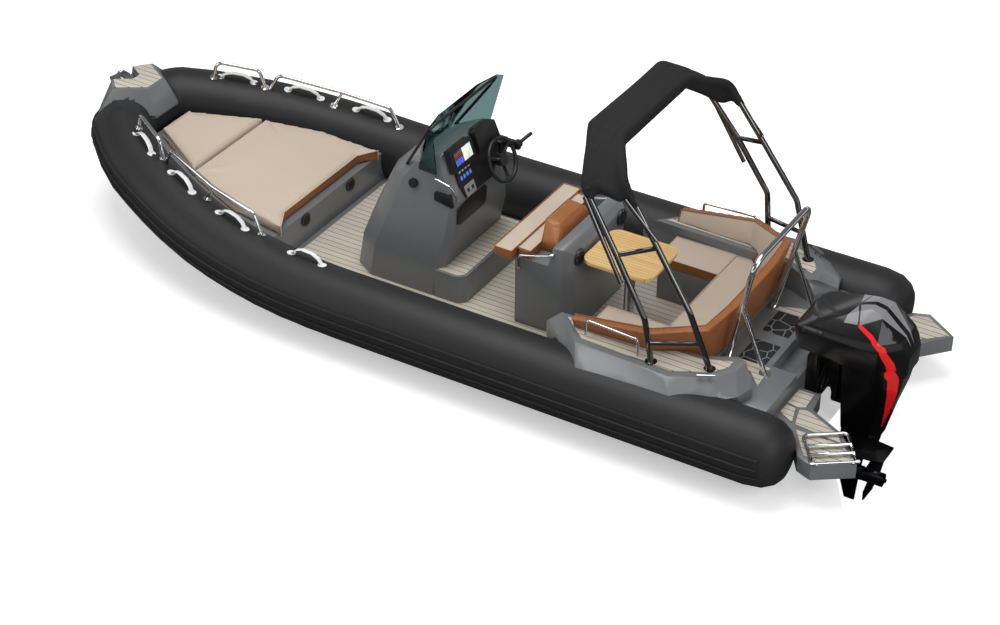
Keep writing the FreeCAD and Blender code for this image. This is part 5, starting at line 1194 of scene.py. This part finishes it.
# %% Field of blocks
field, start, end, FIELD = new_tree("field_of_blocks", [
    ("Across", "NodeSocketInt", 4), ("Down", "NodeSocketInt", 2), ("Wide", "NodeSocketFloat", 0.1),
    ("High", "NodeSocketFloat", 0.05), ("Block", "NodeSocketVector", (0.01, 0.01, 0.005)),
    ("Reach", "NodeSocketFloat", 10.0), ("Finish", "NodeSocketMaterial", None)])
grid = add(field, "GeometryNodeMeshGrid")
for ours, theirs in (("Wide", "Size X"), ("High", "Size Y"), ("Across", "Vertices X"), ("Down", "Vertices Y")):
    feed(field, start[ours], grid.inputs[theirs])
far = add(field, "ShaderNodeVectorMath", operation="LENGTH")
feed(field, add(field, "GeometryNodeInputPosition").outputs[0], far.inputs[0])
trim = add(field, "GeometryNodeDeleteGeometry")
feed(field, grid.outputs[0], trim.inputs["Geometry"])
feed(field, math_node(field, "GREATER_THAN", far.outputs["Value"], start["Reach"]), trim.inputs["Selection"])
block = add(field, "GeometryNodeMeshCube")
feed(field, start["Block"], block.inputs["Size"])
joined(field, trim.outputs[0], block.outputs[0], start["Finish"], end)
print(field.name, list(FIELD))


# %% [markdown]
# ## Speakers
# Four round speakers sit in the mouldings, two behind the helm seat and two under the sun lounge. The CAD
# gives their discs. The net in front is a grid of small blocks trimmed to a circle, and eight screw heads
# stand in a ring near the rim. A pierced plate would need thousands of holes for the same look.

# %% Carrying a repeat to its place
def facing(place, normal, across=(0, 1, 0)):
    """A frame whose Z is the normal at place and whose X lies along across."""
    z = Vector(normal).normalized()
    x = (Vector(across) - z * Vector(across).dot(z)).normalized()
    frame_of = Matrix((x, z.cross(x), z)).transposed().to_4x4()
    frame_of.translation = place
    return frame_of


def made_by(tree, names, label, place, **values):
    """The tree's geometry as a mesh piece, carried by place from its own XY plane to the boat."""
    holder = placed(label + "_seed", bpy.data.meshes.new(label + "_seed"))
    builder = holder.modifiers.new("repeat", "NODES")
    builder.node_group = tree
    for key, value in values.items():
        builder[names[key]] = value
    done = evaluated(holder)
    holder.modifiers.clear()
    bpy.data.objects.remove(holder)
    done.name = label
    done.transform(place)
    return placed(label, done)


print("a frame that faces aft has its X along", [round(value, 2) for value in facing((0, 0, 0), (-1, 0, 0)).col[0]])

# %% Speaker nets and screws
SPEAKERS = [
    # X, Y, Z and radius of each mouth
    (-1.066, 0.3095, 0.855, 0.0635), (-1.066, -0.3095, 0.855, 0.0635),
    (1.288, 0.301, 0.3985, 0.054), (1.288, -0.301, 0.3985, 0.054)]
MOUTH_GAP = 0.0005
NET_ROWS = 17
NET_BLOCK = (0.003, 0.003, 0.0015)
NET_SIDE_SHARE = 1.5
NET_REACH_SHARE = 0.74
SCREW_RING_SHARE = 0.88
SCREWS = 8
SCREW_HEAD = 0.0022

screw_steel = finish_with("screw_steel", (0.5, 0.5, 0.5), 0.3, 0.05, 30, Metallic=1.0)
grille_black = finish_with("grille_black", (0.02, 0.02, 0.02), 0.6, 0.1, 40)
for count, (x, y, z, radius) in enumerate(SPEAKERS):
    mouth = facing((x - MOUTH_GAP, y, z), (-1, 0, 0))
    side = radius * NET_SIDE_SHARE
    net = made_by(field, FIELD, "speaker_net_%d" % (count + 1), mouth, Across=NET_ROWS, Down=NET_ROWS, Wide=side,
                  High=side, Block=NET_BLOCK, Reach=radius * NET_REACH_SHARE, Finish=grille_black)
    attach(net, "speakers")
    heads = made_by(studs, STUD, "speaker_screws_%d" % (count + 1), mouth, Count=SCREWS,
                    Radius=radius * SCREW_RING_SHARE, Head=SCREW_HEAD, Finish=screw_steel)
    attach(heads, "speakers")
    print(net.name, len(net.data.polygons), "faces")


# %% [markdown]
# ## Switches on the dash
# Under the display are two rows of rockers, the lower one lit blue, and a plate with two sockets. The dash
# leans back, and its exact lean could be typed in from the CAD. A ray shot from the helm finds the surface
# and its slant instead, so the rows still lie flat on the dash when the dash changes.

# %% Rows of rockers
NO_TRIM = 10.0
ROCKER = (0.022, 0.030, 0.008)
ROCKER_ROW = 0.120
ROW_MIDDLE = 0.165
CORNER_ROUND = 0.0015


def surface(node, start_at, way):
    """The first point of a node on a ray, and its normal there."""
    mesh = nodes[node].data
    skin = BVHTree.FromPolygons([vert.co for vert in mesh.vertices], [face.vertices[:] for face in mesh.polygons])
    return skin.ray_cast(Vector(start_at), Vector(way))[:2]


rocker_blue = finish_with("rocker_blue", (0.06, 0.22, 0.75), 0.35, 0.05, 40, Emission_Color=(0.1, 0.35, 1.0, 1),
                          Emission_Strength=0.25)
rocker_white = finish_with("rocker_white", (0.55, 0.58, 0.62), 0.4, 0.05, 40)
panel_grey = finish_with("panel_grey", (0.26, 0.27, 0.28), 0.45, 0.05, 20, 300, 0.0002)
ROWS = {
    # name: (height, how many, width of the row, size of one, finish)
    "switches_upper": (1.185, 4, ROCKER_ROW, ROCKER, rocker_white),
    "switches_lower": (1.135, 4, ROCKER_ROW, ROCKER, rocker_blue),
    "switch_plate": (1.035, 1, 0.0, (0.130, 0.085, 0.005), panel_grey),
    "plate_sockets": (1.035, 2, 0.060, (0.028, 0.028, 0.010), grille_black),
}
for label, (z, how_many, wide, size, paint) in ROWS.items():
    place, normal = surface("dash_panel", (-1.0, ROW_MIDDLE, z), (1, 0, 0))
    row = made_by(field, FIELD, label, facing(place, normal), Across=how_many, Down=1, Wide=wide, High=0.0,
                  Block=size, Reach=NO_TRIM, Finish=paint)
    smooth(rounded(row, CORNER_ROUND), SMALL_SHADE)
    attach(row, "dash_panel")
    print(label, "at", [round(value, 3) for value in place])


# %% [markdown]
# ## Sizes and the end
# The box round every piece that is shown, the floor and basin left out, is printed.

# %% Print the visual box
low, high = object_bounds()
print("visual box", [round(value, 3) for value in low], [round(value, 3) for value in high])
